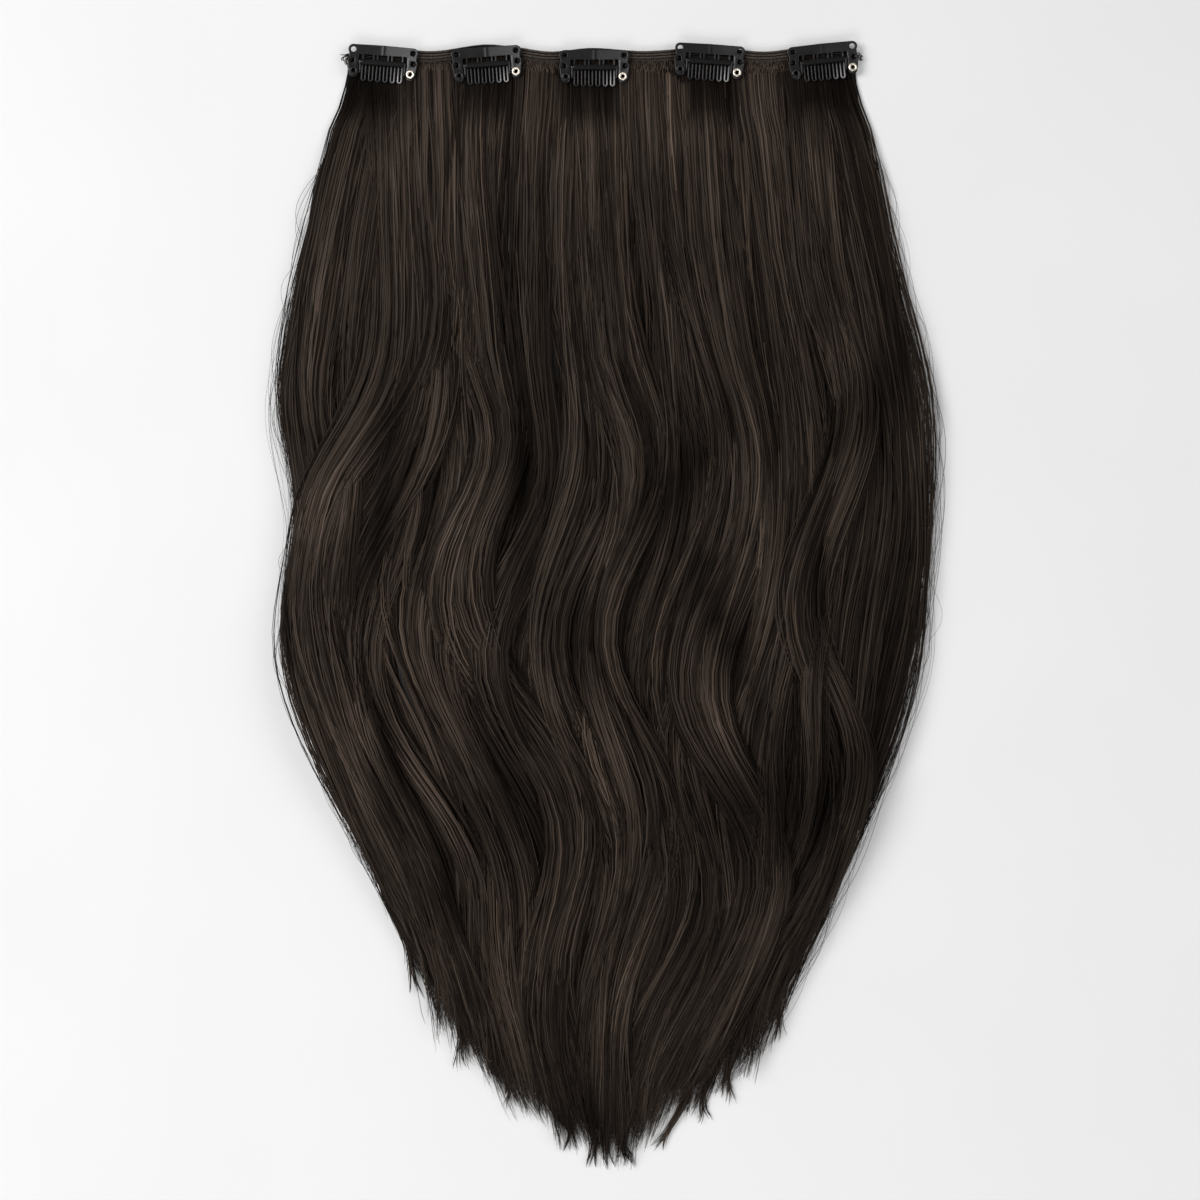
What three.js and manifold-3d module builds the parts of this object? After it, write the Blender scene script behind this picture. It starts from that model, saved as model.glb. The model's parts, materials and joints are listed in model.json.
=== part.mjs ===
// A clip-in hair extension: one machine-sewn weft of long wavy hair with five snap clips sewn to it.
// It lies flat with its clips up. Millimetres, +Z up, +Y towards the sewn band, hair falling towards -Y.
// Each snap clip is a stamped comb plate, two eyelets, and a sleeved spring bar that swings up from the comb.

import * as THREE from "three";
import { mergeVertices } from "three/addons/utils/BufferGeometryUtils.js";
import Module from "manifold-3d";

const wasm = await Module();
wasm.setup();

// Sewn band
const BAND_WIDTH = 232;
const BAND_HEIGHT = 6;
const BAND_THICKNESS = 2.4;
const BAND_RIPPLE = 2.3; // how far the band's line wanders

// Comb plate of a clip, stamped from sheet steel
const CLIP_WIDTH = 32;
const CLIP_HEIGHT = 16.5; // top edge to the tips of the teeth
const PLATE_GAUGE = 0.5; // sheet thickness
const PLATE_BOW = 1.2; // rise of the plate's ends above its middle
const PLATE_CROWN = 0.4; // how far the top edge peaks at the middle
const PLATE_FACETS = 3; // flat bends on each side of the middle crease
const PLATE_TRIM = 1; // sheet cut away outside the stamped outline
const SPINE_HEIGHT = 4.3;
const LUG_RADIUS = 2.4; // rounded corner round the upper sewing hole
const SIDE_LUG_RADIUS = 2; // bulge round the lower sewing hole
const SEW_HOLE_RADIUS = 1.2;

// Teeth, each one a loop of narrow strip, joined in pairs
const TOOTH_PAIRS = 3;
const TOOTH_GAP = 1;
const WIRE_SHARE = 0.3; // width of a loop's wire over the tooth's width
const BRIDGE_DROP = 8; // top edge to the bridge that joins a pair, and to the bar above it
const BRIDGE_HEIGHT = 1;

// Eyelets, which rivet the spring bar's end tabs under the plate's arms
const EYELET_INSET = 3; // from the plate's side edge to an eyelet's centre
const EYELET_DROP = 12; // from its top edge
const EYELET_BORE_RADIUS = 0.8;
const EYELET_WALL = 0.35;
const EYELET_LIP = 0.8; // how far the flange reaches past the barrel
const EYELET_FLANGE_HEIGHT = 0.4;
const ARM_RIM = 1; // steel round the eyelet's hole at the arm's end
const TAB_RIM = 0.7; // steel round its hole in the tab
const TAB_LOBE = 0.9; // how far the tab reaches below the eyelet's round

// Spring bar and its rubber sleeve
const BAR_GAUGE = 0.5;
const BAR_WIDTH = 1;
const SLEEVE_WALL = 0.55;

// Clearances
const FIT = 0.15; // round a barrel in its hole
const METAL_GAP = 0.2; // between stacked metal pieces
const BAR_GAP = 0.3; // beside the swinging bar
const SEAM_GAP = 0.3; // between the band and what is sewn to it

// Hair
const HAIR_DROP = 506; // band to the lowest tip
const HAIR_HALF_WIDTH = 150; // at its widest
const HAIR_RISE = 14; // thickness where the waves lift it most
const HAIR_SWAY = 22; // side travel of the waves
const ROOT_RECESS = 0.4; // how much thinner than the band the hair is pressed under the clips
const ROOT_STRIP_HEIGHT = 7; // rows of looped roots under the band
const ROOT_SETTLE = 0.1; // share of HAIR_DROP over which the hair leaves the band's width
const LOCK_START = 0.006; // where a lock leaves the root strip, as a share of HAIR_DROP
const LOCK_OVERLAP = 1.3; // a lock's width over the spacing of the locks
const LOCK_TAPER = 5; // higher keeps a lock wide for longer
const LOCK_TIP = 0.17; // a lock's width at its tip over its full width
const UNDERLAYER_END = 0.99; // where the layer behind the locks ends, as a share of HAIR_DROP

// Fineness of the facets
const LOCK_SIDES = 6;
const LOCK_STEPS = 20;
const UNDERLAYER_SIDES = 8;
const HOLE_SIDES = 8;
const EYELET_SIDES = 10;
const SLEEVE_SIDES = 10;

// How the hair is stacked: lowest and highest edge as shares of the hair's thickness at that place,
// and width over that of a plain lock.
const LAYERS = {
  under: { low: -0.25, high: 0.55, girth: 1 },
  locks: { low: -0.35, high: 0.8, girth: 1 },
  upper: { low: 0.1, high: 1, girth: 0.9 },
};

// The band's line: place as a share of its half width, height as a share of BAND_RIPPLE.
const BAND_LINE = [
  { along: -1.0, height: -1.0 },
  { along: -0.85, height: 0.2 },
  { along: -0.66, height: -0.3 },
  { along: -0.46, height: 1.0 },
  { along: -0.34, height: 0.5 },
  { along: -0.2, height: -0.4 },
  { along: -0.04, height: 0.3 },
  { along: 0.17, height: -0.3 },
  { along: 0.43, height: 0.5 },
  { along: 0.64, height: -0.4 },
  { along: 0.86, height: 0.8 },
  { along: 1.0, height: 0.0 },
];

// The clips: place as a share of the band's half width, top edge above the band's line as a share
// of BAND_HEIGHT, and turn in degrees.
const CLIPS = [
  { along: -0.855, above: 0.1, turn: -4.5 },
  { along: -0.455, above: -0.3, turn: 4.3 },
  { along: -0.028, above: -0.24, turn: 0 },
  { along: 0.428, above: 0.11, turn: -3.8 },
  { along: 0.865, above: 0.03, turn: 6 },
];

// The hair from its root to its tip, as shares: `down` of HAIR_DROP, the outline's `left` and `right`
// and `gather`, the half width that the locks follow, of HAIR_HALF_WIDTH, `sway` of HAIR_SWAY and
// `rise` of HAIR_RISE.
const SECTIONS = [
  { down: 0.0, left: 0.77, right: 0.77, gather: 0.77, sway: 0.0, rise: 0.0 },
  { down: 0.04, left: 0.8, right: 0.78, gather: 0.79, sway: 0.0, rise: 0.04 },
  { down: 0.1, left: 0.86, right: 0.83, gather: 0.85, sway: -0.1, rise: 0.3 },
  { down: 0.2, left: 0.93, right: 0.91, gather: 0.92, sway: 0.0, rise: 0.5 },
  { down: 0.3, left: 0.99, right: 0.98, gather: 0.98, sway: 0.58, rise: 0.7 },
  { down: 0.41, left: 0.92, right: 1.0, gather: 0.96, sway: 0.0, rise: 0.8 },
  { down: 0.47, left: 0.95, right: 0.99, gather: 0.97, sway: -0.73, rise: 0.9 },
  { down: 0.54, left: 0.96, right: 0.96, gather: 0.96, sway: -0.2, rise: 1.0 },
  { down: 0.63, left: 0.85, right: 0.87, gather: 0.86, sway: 0.73, rise: 1.0 },
  { down: 0.7, left: 0.75, right: 0.77, gather: 0.77, sway: 1.0, rise: 0.95 },
  { down: 0.78, left: 0.6, right: 0.66, gather: 0.65, sway: 0.5, rise: 0.8 },
  { down: 0.86, left: 0.45, right: 0.52, gather: 0.53, sway: -0.2, rise: 0.6 },
  { down: 0.93, left: 0.31, right: 0.38, gather: 0.43, sway: -0.1, rise: 0.4 },
  { down: 1.0, left: 0.04, right: 0.05, gather: 0.34, sway: 0.0, rise: 0.2 },
];

// The locks side by side: `across` is a share of the gathered half width, `ends` and `late` shares of HAIR_DROP
// (`late` delays the wave), `swing` scales the sway.
const LOCKS = [
  { across: -0.88, ends: 0.87, late: 0.05, swing: 0.1 },
  { across: -0.72, ends: 0.9, late: 0.04, swing: 0.6 },
  { across: -0.55, ends: 0.93, late: 0.02, swing: 1.0 },
  { across: -0.37, ends: 0.96, late: 0.0, swing: 1.1 },
  { across: -0.18, ends: 0.98, late: -0.01, swing: 1.0 },
  { across: 0.0, ends: 1.0, late: 0.0, swing: 1.1 },
  { across: 0.18, ends: 0.985, late: 0.02, swing: 1.0 },
  { across: 0.37, ends: 0.965, late: 0.01, swing: 1.1 },
  { across: 0.55, ends: 0.94, late: 0.0, swing: 1.0 },
  { across: 0.72, ends: 0.91, late: -0.02, swing: 0.7 },
  { across: 0.88, ends: 0.88, late: -0.03, swing: 0.1 },
];

// Upper locks that cross over the others, with the same columns.
const UPPER_LOCKS = [
  { across: -0.64, ends: 0.88, late: 0.03, swing: 1.3 },
  { across: -0.28, ends: 0.95, late: -0.01, swing: 1.5 },
  { across: 0.1, ends: 0.97, late: 0.02, swing: 1.5 },
  { across: 0.46, ends: 0.92, late: 0.0, swing: 1.4 },
  { across: 0.78, ends: 0.86, late: -0.03, swing: 0.6 },
];

// Places worked out from the sizes above, in a clip's own frame: its middle at the top edge, Z at the floor.
const plateMiddle = BAND_THICKNESS + SEAM_GAP + PLATE_GAUGE / 2;
const bowAt = (x) => PLATE_BOW * (x / (CLIP_WIDTH / 2)) ** 2;
const bowSlopeAt = (x) => (2 * PLATE_BOW * x) / (CLIP_WIDTH / 2) ** 2;
const eyeletX = CLIP_WIDTH / 2 - EYELET_INSET;
const barrelRadius = EYELET_BORE_RADIUS + EYELET_WALL;
const eyeletHole = barrelRadius + FIT;
const tabRadius = eyeletHole + TAB_RIM;
const tabMiddle = -PLATE_GAUGE / 2 - METAL_GAP - BAR_GAUGE / 2; // from the plate's middle
const armInnerEdge = eyeletX - tabRadius;
const barReach = armInnerEdge - BAR_GAP;
const combReach = barReach - BAR_WIDTH - BAR_GAP;
const teeth = 2 * TOOTH_PAIRS;
const toothWidth = (2 * combReach - (teeth - 1) * TOOTH_GAP) / teeth;
const toothPitch = toothWidth + TOOTH_GAP;
const slotHalfY = BAR_WIDTH / 2 + FIT;
const slotHalfZ = BAR_GAUGE / 2 + FIT;
const hingeLine = {
  y: -EYELET_DROP,
  z: plateMiddle + bowAt(eyeletX) + tabMiddle - tabRadius * bowSlopeAt(eyeletX),
};
const sleeveLine = {
  y: -BRIDGE_DROP,
  z:
    plateMiddle +
    PLATE_GAUGE / 2 +
    bowAt(combReach) +
    METAL_GAP +
    slotHalfZ +
    SLEEVE_WALL,
};

// Places in the hair, from the band's line.
const lockTop = -BAND_HEIGHT - SEAM_GAP - BAND_RIPPLE;
const lockFall = HAIR_DROP - BAND_RIPPLE;
const rootRise = BAND_THICKNESS - ROOT_RECESS;

// The value of a column at a share of the way, on a smooth curve through the rows.
function along(rows, place, column, share) {
  const last = rows.length - 1;
  let i = 0;
  while (i < last - 1 && rows[i + 1][place] < share) i += 1;
  const slope = (k) => {
    const before = rows[Math.max(k - 1, 0)];
    const after = rows[Math.min(k + 1, last)];
    return (after[column] - before[column]) / (after[place] - before[place]);
  };
  const a = rows[i];
  const b = rows[i + 1];
  const gap = b[place] - a[place];
  const t = THREE.MathUtils.clamp((share - a[place]) / gap, 0, 1);
  const ease = t * t * (3 - 2 * t);
  const start = t * (1 - t) ** 2 * gap * slope(i);
  const end = t * t * (t - 1) * gap * slope(i + 1);
  return a[column] * (1 - ease) + b[column] * ease + start + end;
}

const bandLineAt = (x) =>
  BAND_RIPPLE * along(BAND_LINE, "along", "height", x / (BAND_WIDTH / 2));

// Half widths and thickness of the hair at a share of its drop.
function reachAt(column, down) {
  const free = THREE.MathUtils.smoothstep(down, 0, ROOT_SETTLE);
  const reach = HAIR_HALF_WIDTH * along(SECTIONS, "down", column, down);
  return THREE.MathUtils.lerp(BAND_WIDTH / 2, reach, free);
}

const riseAt = (down) =>
  rootRise + (HAIR_RISE - rootRise) * along(SECTIONS, "down", "rise", down);

// A closed geometry as a solid for cutting and joining.
function solid(geometry) {
  const bare = geometry.clone();
  bare.deleteAttribute("normal");
  bare.deleteAttribute("uv");
  const merged = mergeVertices(bare, 1e-4);
  return new wasm.Manifold(
    new wasm.Mesh({
      numProp: 3,
      vertProperties: merged.attributes.position.array,
      triVerts: new Uint32Array(merged.index.array),
    }),
  );
}

// A solid as a geometry for a mesh.
function geometryOf(made) {
  const mesh = made.getMesh();
  const places = new Float32Array(mesh.numVert * 3);
  for (let i = 0; i < mesh.numVert; i += 1) {
    const from = i * mesh.numProp;
    places.set(mesh.vertProperties.subarray(from, from + 3), i * 3);
  }
  const geometry = new THREE.BufferGeometry();
  geometry.setAttribute("position", new THREE.BufferAttribute(places, 3));
  geometry.setIndex(new THREE.BufferAttribute(mesh.triVerts, 1));
  geometry.computeVertexNormals();
  return geometry;
}

function joined(parts) {
  return parts.reduce((whole, part) => whole.add(part));
}

function arcPoints(centreX, centreY, radius, fromDegrees, toDegrees, steps) {
  return Array.from({ length: steps + 1 }, (_, i) => {
    const angle = THREE.MathUtils.degToRad(
      fromDegrees + ((toDegrees - fromDegrees) * i) / steps,
    );
    return new THREE.Vector2(
      centreX + radius * Math.cos(angle),
      centreY + radius * Math.sin(angle),
    );
  });
}

function hole(x, y, radius) {
  return new THREE.Path(arcPoints(x, y, radius, 0, 360, HOLE_SIDES).slice(1));
}

// A flat outline raised from height `low` by `height`.
function raised(shape, low, height) {
  const geometry = new THREE.ExtrudeGeometry(shape, {
    depth: height,
    bevelEnabled: false,
  });
  return geometry.translate(0, 0, low);
}

// A side outline, drawn with Y and Z, made `width` wide along X about `middle`.
function widened(shape, middle, width) {
  const geometry = new THREE.ExtrudeGeometry(shape, {
    depth: width,
    bevelEnabled: false,
  });
  const turn = new THREE.Matrix4().makeBasis(
    new THREE.Vector3(0, 1, 0),
    new THREE.Vector3(0, 0, 1),
    new THREE.Vector3(1, 0, 0),
  );
  return geometry.applyMatrix4(turn).translate(middle - width / 2, 0, 0);
}

// The plate's spine with its two arms, and the sewing and eyelet holes in them.
function spineShape() {
  const lugX = CLIP_WIDTH / 2 - LUG_RADIUS;
  const sideX = CLIP_WIDTH / 2 - SIDE_LUG_RADIUS;
  const sideY = -(LUG_RADIUS + EYELET_DROP) / 2;
  const rightHalf = [
    ...arcPoints(lugX, -LUG_RADIUS, LUG_RADIUS, 90, -35, 4),
    ...arcPoints(sideX, sideY, SIDE_LUG_RADIUS, 45, -15, 2),
    ...arcPoints(eyeletX, -EYELET_DROP, eyeletHole + ARM_RIM, -5, -150, 5),
    new THREE.Vector2(armInnerEdge, -EYELET_DROP),
    new THREE.Vector2(armInnerEdge, -SPINE_HEIGHT),
  ];
  const leftHalf = rightHalf
    .map((p) => new THREE.Vector2(-p.x, p.y))
    .reverse();
  const shape = new THREE.Shape([
    new THREE.Vector2(0, PLATE_CROWN),
    ...rightHalf,
    ...leftHalf,
  ]);
  for (const side of [-1, 1]) {
    shape.holes.push(hole(side * lugX, -LUG_RADIUS, SEW_HOLE_RADIUS));
    shape.holes.push(hole(side * sideX, sideY, SEW_HOLE_RADIUS));
    shape.holes.push(hole(side * eyeletX, -EYELET_DROP, eyeletHole));
  }
  return shape;
}

// Two looped teeth side by side, joined by a bridge, with an open window above it.
function toothPairShape(middle) {
  const half = toothWidth / 2;
  const wire = WIRE_SHARE * toothWidth;
  const slotHalf = half - wire;
  const tipY = -CLIP_HEIGHT + half;
  const bridgeTop = -BRIDGE_DROP + BRIDGE_HEIGHT / 2;
  const bridgeBottom = -BRIDGE_DROP - BRIDGE_HEIGHT / 2;
  const top = -SPINE_HEIGHT + wire; // inside the spine, so that the two fuse
  const left = middle - toothPitch / 2;
  const right = middle + toothPitch / 2;
  const at = (x, y) => new THREE.Vector2(x, y);
  const shape = new THREE.Shape([
    at(left - half, top),
    ...arcPoints(left, tipY, half, 180, 360, 4),
    at(left + half, bridgeBottom),
    at(right - half, bridgeBottom),
    ...arcPoints(right, tipY, half, 180, 360, 4),
    at(right + half, top),
  ]);
  for (const x of [left, right]) {
    shape.holes.push(
      new THREE.Path([
        at(x - slotHalf, bridgeBottom),
        ...arcPoints(x, tipY, slotHalf, 180, 360, 3),
        at(x + slotHalf, bridgeBottom),
      ]),
    );
  }
  shape.holes.push(
    new THREE.Path([
      at(left - slotHalf, -SPINE_HEIGHT),
      at(left - slotHalf, bridgeTop),
      at(right + slotHalf, bridgeTop),
      at(right + slotHalf, -SPINE_HEIGHT),
    ]),
  );
  return shape;
}

// A sheet bowed along X: lowest at the crease in its middle, raised at its ends.
function bowedSheet() {
  const reach = CLIP_WIDTH / 2 + PLATE_TRIM;
  const line = [];
  for (let i = -PLATE_FACETS; i <= PLATE_FACETS; i += 1) {
    const x = (reach * i) / PLATE_FACETS;
    line.push(new THREE.Vector2(x, plateMiddle + bowAt(x)));
  }
  const below = line.map((p) => new THREE.Vector2(p.x, p.y - PLATE_GAUGE / 2));
  const above = line.map((p) => new THREE.Vector2(p.x, p.y + PLATE_GAUGE / 2));
  const shape = new THREE.Shape([...below, ...above.reverse()]);
  const front = PLATE_CROWN + PLATE_TRIM;
  const length = front + CLIP_HEIGHT + PLATE_TRIM;
  const geometry = new THREE.ExtrudeGeometry(shape, {
    depth: length,
    bevelEnabled: false,
  });
  return geometry.rotateX(Math.PI / 2).translate(0, front, 0);
}

function combPlate() {
  const top = plateMiddle + bowAt(CLIP_WIDTH / 2 + PLATE_TRIM) + PLATE_GAUGE;
  const blank = [solid(raised(spineShape(), 0, top))];
  for (let pair = 0; pair < TOOTH_PAIRS; pair += 1) {
    const middle = (pair - (TOOTH_PAIRS - 1) / 2) * 2 * toothPitch;
    blank.push(solid(raised(toothPairShape(middle), 0, top)));
  }
  return joined(blank).intersect(solid(bowedSheet()));
}

// The tube rivet, upright at the origin, whose zero height is the middle of the plate's sheet.
function eyeletGeometry() {
  const flangeFoot = PLATE_GAUGE / 2 + METAL_GAP;
  const flangeTop = flangeFoot + EYELET_FLANGE_HEIGHT;
  const foot = tabMiddle - BAR_GAUGE / 2 - METAL_GAP / 2;
  const flangeRadius = barrelRadius + EYELET_LIP;
  const crestRadius = (EYELET_BORE_RADIUS + flangeRadius) / 2;
  const profile = [
    new THREE.Vector2(EYELET_BORE_RADIUS, foot),
    new THREE.Vector2(barrelRadius, foot),
    new THREE.Vector2(barrelRadius, flangeFoot),
    new THREE.Vector2(flangeRadius, flangeFoot),
    new THREE.Vector2(crestRadius, flangeTop),
    new THREE.Vector2(EYELET_BORE_RADIUS, flangeFoot),
    new THREE.Vector2(EYELET_BORE_RADIUS, foot),
  ];
  return new THREE.LatheGeometry(profile, EYELET_SIDES).rotateX(Math.PI / 2);
}

// The bar's flat end, held under the plate's arm by the eyelet.
function tabGeometry() {
  const shape = new THREE.Shape([
    ...arcPoints(0, 0, tabRadius, 0, 180, 5),
    ...arcPoints(0, -TAB_LOBE, tabRadius, 180, 360, 5),
  ]);
  shape.holes.push(hole(0, 0, eyeletHole));
  return raised(shape, tabMiddle - BAR_GAUGE / 2, BAR_GAUGE);
}

// The spring bar: two arms that turn about the hinge line, and a crossbar above the comb.
function springBar() {
  const half = BAR_GAUGE / 2;
  const rootY = hingeLine.y - BAR_WIDTH / 2;
  const bendY = hingeLine.y + BAR_WIDTH / 2;
  const farY = sleeveLine.y + BAR_WIDTH / 2;
  const nearY = sleeveLine.y - BAR_WIDTH / 2;
  const side = new THREE.Shape([
    new THREE.Vector2(rootY, hingeLine.z - half),
    new THREE.Vector2(bendY, hingeLine.z - half),
    new THREE.Vector2(nearY, sleeveLine.z - half),
    new THREE.Vector2(farY, sleeveLine.z - half),
    new THREE.Vector2(farY, sleeveLine.z + half),
    new THREE.Vector2(nearY, sleeveLine.z + half),
    new THREE.Vector2(bendY, hingeLine.z + half),
    new THREE.Vector2(rootY, hingeLine.z + half),
  ]);
  const armMiddle = barReach - BAR_WIDTH / 2;
  const crossbar = new THREE.BoxGeometry(
    2 * barReach - BAR_WIDTH,
    BAR_WIDTH,
    BAR_GAUGE,
  ).translate(0, sleeveLine.y, sleeveLine.z);
  return joined([
    solid(widened(side, -armMiddle, BAR_WIDTH)),
    solid(widened(side, armMiddle, BAR_WIDTH)),
    solid(crossbar),
  ]);
}

// The rubber tube over the crossbar, oval outside, with a flat slot for the bar.
function sleeveGeometry() {
  const at = (y, z) => new THREE.Vector2(sleeveLine.y + y, sleeveLine.z + z);
  const shape = new THREE.Shape(
    arcPoints(0, 0, 1, 0, 360, SLEEVE_SIDES)
      .slice(1)
      .map((p) =>
        at(p.x * (slotHalfY + SLEEVE_WALL), p.y * (slotHalfZ + SLEEVE_WALL)),
      ),
  );
  shape.holes.push(
    new THREE.Path([
      at(-slotHalfY, -slotHalfZ),
      at(slotHalfY, -slotHalfZ),
      at(slotHalfY, slotHalfZ),
      at(-slotHalfY, slotHalfZ),
    ]),
  );
  return widened(shape, 0, 2 * combReach);
}

// The band's line, lowered by `drop`, from left to right.
function bandOutline(drop) {
  const steps = 2 * (BAND_LINE.length - 1);
  return Array.from({ length: steps + 1 }, (_, i) => {
    const x = (i / steps - 0.5) * BAND_WIDTH;
    return new THREE.Vector2(x, bandLineAt(x) - drop);
  });
}

// The stitched band, cut to its wandering line.
function bandGeometry() {
  const shape = new THREE.Shape([
    ...bandOutline(BAND_HEIGHT),
    ...bandOutline(0).reverse(),
  ]);
  return raised(shape, 0, BAND_THICKNESS);
}

// The strip of looped roots that every lock grows from, which backs the whole fall of hair.
function rootStrip() {
  const bottomY = lockTop - ROOT_STRIP_HEIGHT;
  const shape = new THREE.Shape([
    new THREE.Vector2(-BAND_WIDTH / 2, bottomY),
    new THREE.Vector2(BAND_WIDTH / 2, bottomY),
    ...bandOutline(BAND_HEIGHT + SEAM_GAP).reverse(),
  ]);
  return solid(raised(shape, 0, rootRise));
}

// An upright cylinder whose points are moved to where `place` puts them, given a point's share of the way down
// and its X and Z on a unit circle.
function shapedTube(sides, place) {
  const geometry = new THREE.CylinderGeometry(1, 1, 1, sides, LOCK_STEPS);
  const points = geometry.attributes.position;
  for (let i = 0; i < points.count; i += 1) {
    const share = 0.5 - points.getY(i);
    points.setXYZ(i, ...place(share, points.getX(i), points.getZ(i)));
  }
  return solid(geometry);
}

// One lock: a tube whose rings follow the fall of the hair and narrow towards its tip.
function lock(row, layer) {
  const fullWidth = (LOCK_OVERLAP * layer.girth) / LOCKS.length;
  return shapedTube(LOCK_SIDES, (share, acrossRing, upRing) => {
    const down = Math.max(share * row.ends, LOCK_START);
    const outline = reachAt(row.across < 0 ? "left" : "right", down);
    const gather = reachAt("gather", down);
    const spread = THREE.MathUtils.lerp(gather, outline, row.across ** 2);
    const swayed = along(SECTIONS, "down", "sway", down - row.late);
    const sway = HAIR_SWAY * swayed * row.swing;
    const narrowing = Math.sqrt(1 - (1 - LOCK_TIP ** 2) * share ** LOCK_TAPER);
    const halfWidth = fullWidth * gather * narrowing;
    const low = riseAt(down) * layer.low;
    const high = riseAt(down) * layer.high;
    return [
      row.across * spread + sway + acrossRing * halfWidth,
      lockTop - lockFall * down,
      (low + high) / 2 + (upRing * narrowing * (high - low)) / 2,
    ];
  });
}

// The thin layer behind the locks, which fills the hair's outline.
function underlayer() {
  return shapedTube(UNDERLAYER_SIDES, (share, acrossRing, upRing) => {
    const down = Math.max(share * UNDERLAYER_END, LOCK_START);
    const left = -reachAt("left", down);
    const right = reachAt("right", down);
    const low = riseAt(down) * LAYERS.under.low;
    const high = riseAt(down) * LAYERS.under.high;
    return [
      (left + right) / 2 + (acrossRing * (right - left)) / 2,
      lockTop - lockFall * down,
      (low + high) / 2 + (upRing * (high - low)) / 2,
    ];
  });
}

// All the locks fused to the root strip, and flattened where they lie on the surface.
function hair() {
  const fall = joined([
    rootStrip(),
    underlayer(),
    ...LOCKS.map((row) => lock(row, LAYERS.locks)),
    ...UPPER_LOCKS.map((row) => lock(row, LAYERS.upper)),
  ]);
  const reach = 4 * (HAIR_DROP + HAIR_HALF_WIDTH);
  const below = new THREE.BoxGeometry(reach, reach, reach);
  return fall.subtract(solid(below.translate(0, 0, -reach / 2)));
}

const finishes = {
  hair: { color: 0x2a2320, roughness: 0.45, metalness: 0 },
  band: { color: 0x1f1a18, roughness: 0.8, metalness: 0 },
  blackSteel: { color: 0x0c0c0d, roughness: 0.28, metalness: 0.2 },
  eyelet: { color: 0xd8cfc0, roughness: 0.25, metalness: 1 },
  rubber: { color: 0x060606, roughness: 0.85, metalness: 0 },
};

function piece(name, geometry, finish) {
  const mesh = new THREE.Mesh(
    geometry,
    new THREE.MeshStandardMaterial(finishes[finish]),
  );
  mesh.name = name;
  return mesh;
}

// A whole clip in its own frame, as a group that is then placed on the band.
function snapClip(name) {
  const clip = new THREE.Group();
  clip.add(piece(`${name}_plate`, geometryOf(combPlate()), "blackSteel"));
  for (const [hand, side] of [
    ["left", -1],
    ["right", 1],
  ]) {
    const seat = new THREE.Group();
    seat.add(piece(`${name}_eyelet_${hand}`, eyeletGeometry(), "eyelet"));
    seat.add(piece(`${name}_tab_${hand}`, tabGeometry(), "blackSteel"));
    seat.position.set(
      side * eyeletX,
      -EYELET_DROP,
      plateMiddle + bowAt(eyeletX),
    );
    seat.rotation.y = -side * Math.atan(bowSlopeAt(eyeletX));
    clip.add(seat);
  }
  clip.add(piece(`${name}_bar`, geometryOf(springBar()), "blackSteel"));
  clip.add(piece(`${name}_sleeve`, sleeveGeometry(), "rubber"));
  return clip;
}

const extension = new THREE.Group();
extension.add(piece("weft_band", bandGeometry(), "band"));
extension.add(piece("hair", geometryOf(hair()), "hair"));
CLIPS.forEach((row, i) => {
  const clip = snapClip(`clip_${i + 1}`);
  const x = (row.along * BAND_WIDTH) / 2;
  clip.position.set(x, bandLineAt(x) + row.above * BAND_HEIGHT, 0);
  clip.rotation.z = THREE.MathUtils.degToRad(row.turn);
  extension.add(clip);
});

// The origin is the middle of the whole extension, on the surface that it lies on.
extension.updateMatrixWorld(true);
const span = new THREE.Box3().setFromObject(extension, true);
const middle = span.getCenter(new THREE.Vector3());
extension.position.set(-middle.x, -middle.y, -span.min.z);

const part = new THREE.Group();
part.add(extension);

export default part;
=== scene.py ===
# %% [markdown]
# # A clip-in hair extension
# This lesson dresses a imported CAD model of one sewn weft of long, wavy, dark brown hair with five snap
# clips. The CAD part fixes every size and place and says which pieces swing. Here each piece gets the
# surface that a camera sees: strands, stitches, enamel, bright rivets and rubber.

# %% Load the fixed frame
import json
import math

import bmesh
import bpy
import numpy as np
from mathutils import Matrix, Vector

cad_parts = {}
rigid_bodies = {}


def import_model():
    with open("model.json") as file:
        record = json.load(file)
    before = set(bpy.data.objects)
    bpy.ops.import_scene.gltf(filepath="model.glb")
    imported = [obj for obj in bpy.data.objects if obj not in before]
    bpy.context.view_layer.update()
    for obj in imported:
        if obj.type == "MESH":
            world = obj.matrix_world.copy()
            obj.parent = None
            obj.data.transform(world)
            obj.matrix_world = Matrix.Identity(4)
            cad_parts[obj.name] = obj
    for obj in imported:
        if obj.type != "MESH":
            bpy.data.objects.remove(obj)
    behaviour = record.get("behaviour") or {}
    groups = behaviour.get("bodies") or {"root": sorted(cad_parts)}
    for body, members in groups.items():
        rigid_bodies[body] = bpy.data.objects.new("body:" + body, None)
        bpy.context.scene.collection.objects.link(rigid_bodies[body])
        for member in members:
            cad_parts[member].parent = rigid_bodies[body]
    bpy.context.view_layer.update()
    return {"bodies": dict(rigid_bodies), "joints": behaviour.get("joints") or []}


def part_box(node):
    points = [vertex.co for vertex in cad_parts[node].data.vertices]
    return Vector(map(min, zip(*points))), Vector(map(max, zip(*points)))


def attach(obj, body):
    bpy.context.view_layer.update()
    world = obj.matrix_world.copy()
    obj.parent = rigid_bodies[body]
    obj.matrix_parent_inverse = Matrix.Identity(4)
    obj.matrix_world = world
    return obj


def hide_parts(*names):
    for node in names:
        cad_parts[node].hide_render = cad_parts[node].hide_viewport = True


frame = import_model()
print("bodies:", ", ".join(frame["bodies"]))

# %% [markdown]
# ## Sizes
# The hair's tables are the same as in the CAD source, written as shares of a few real sizes, so the
# strands follow the solid locks that stand in for them. Everything below is in metres.

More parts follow.
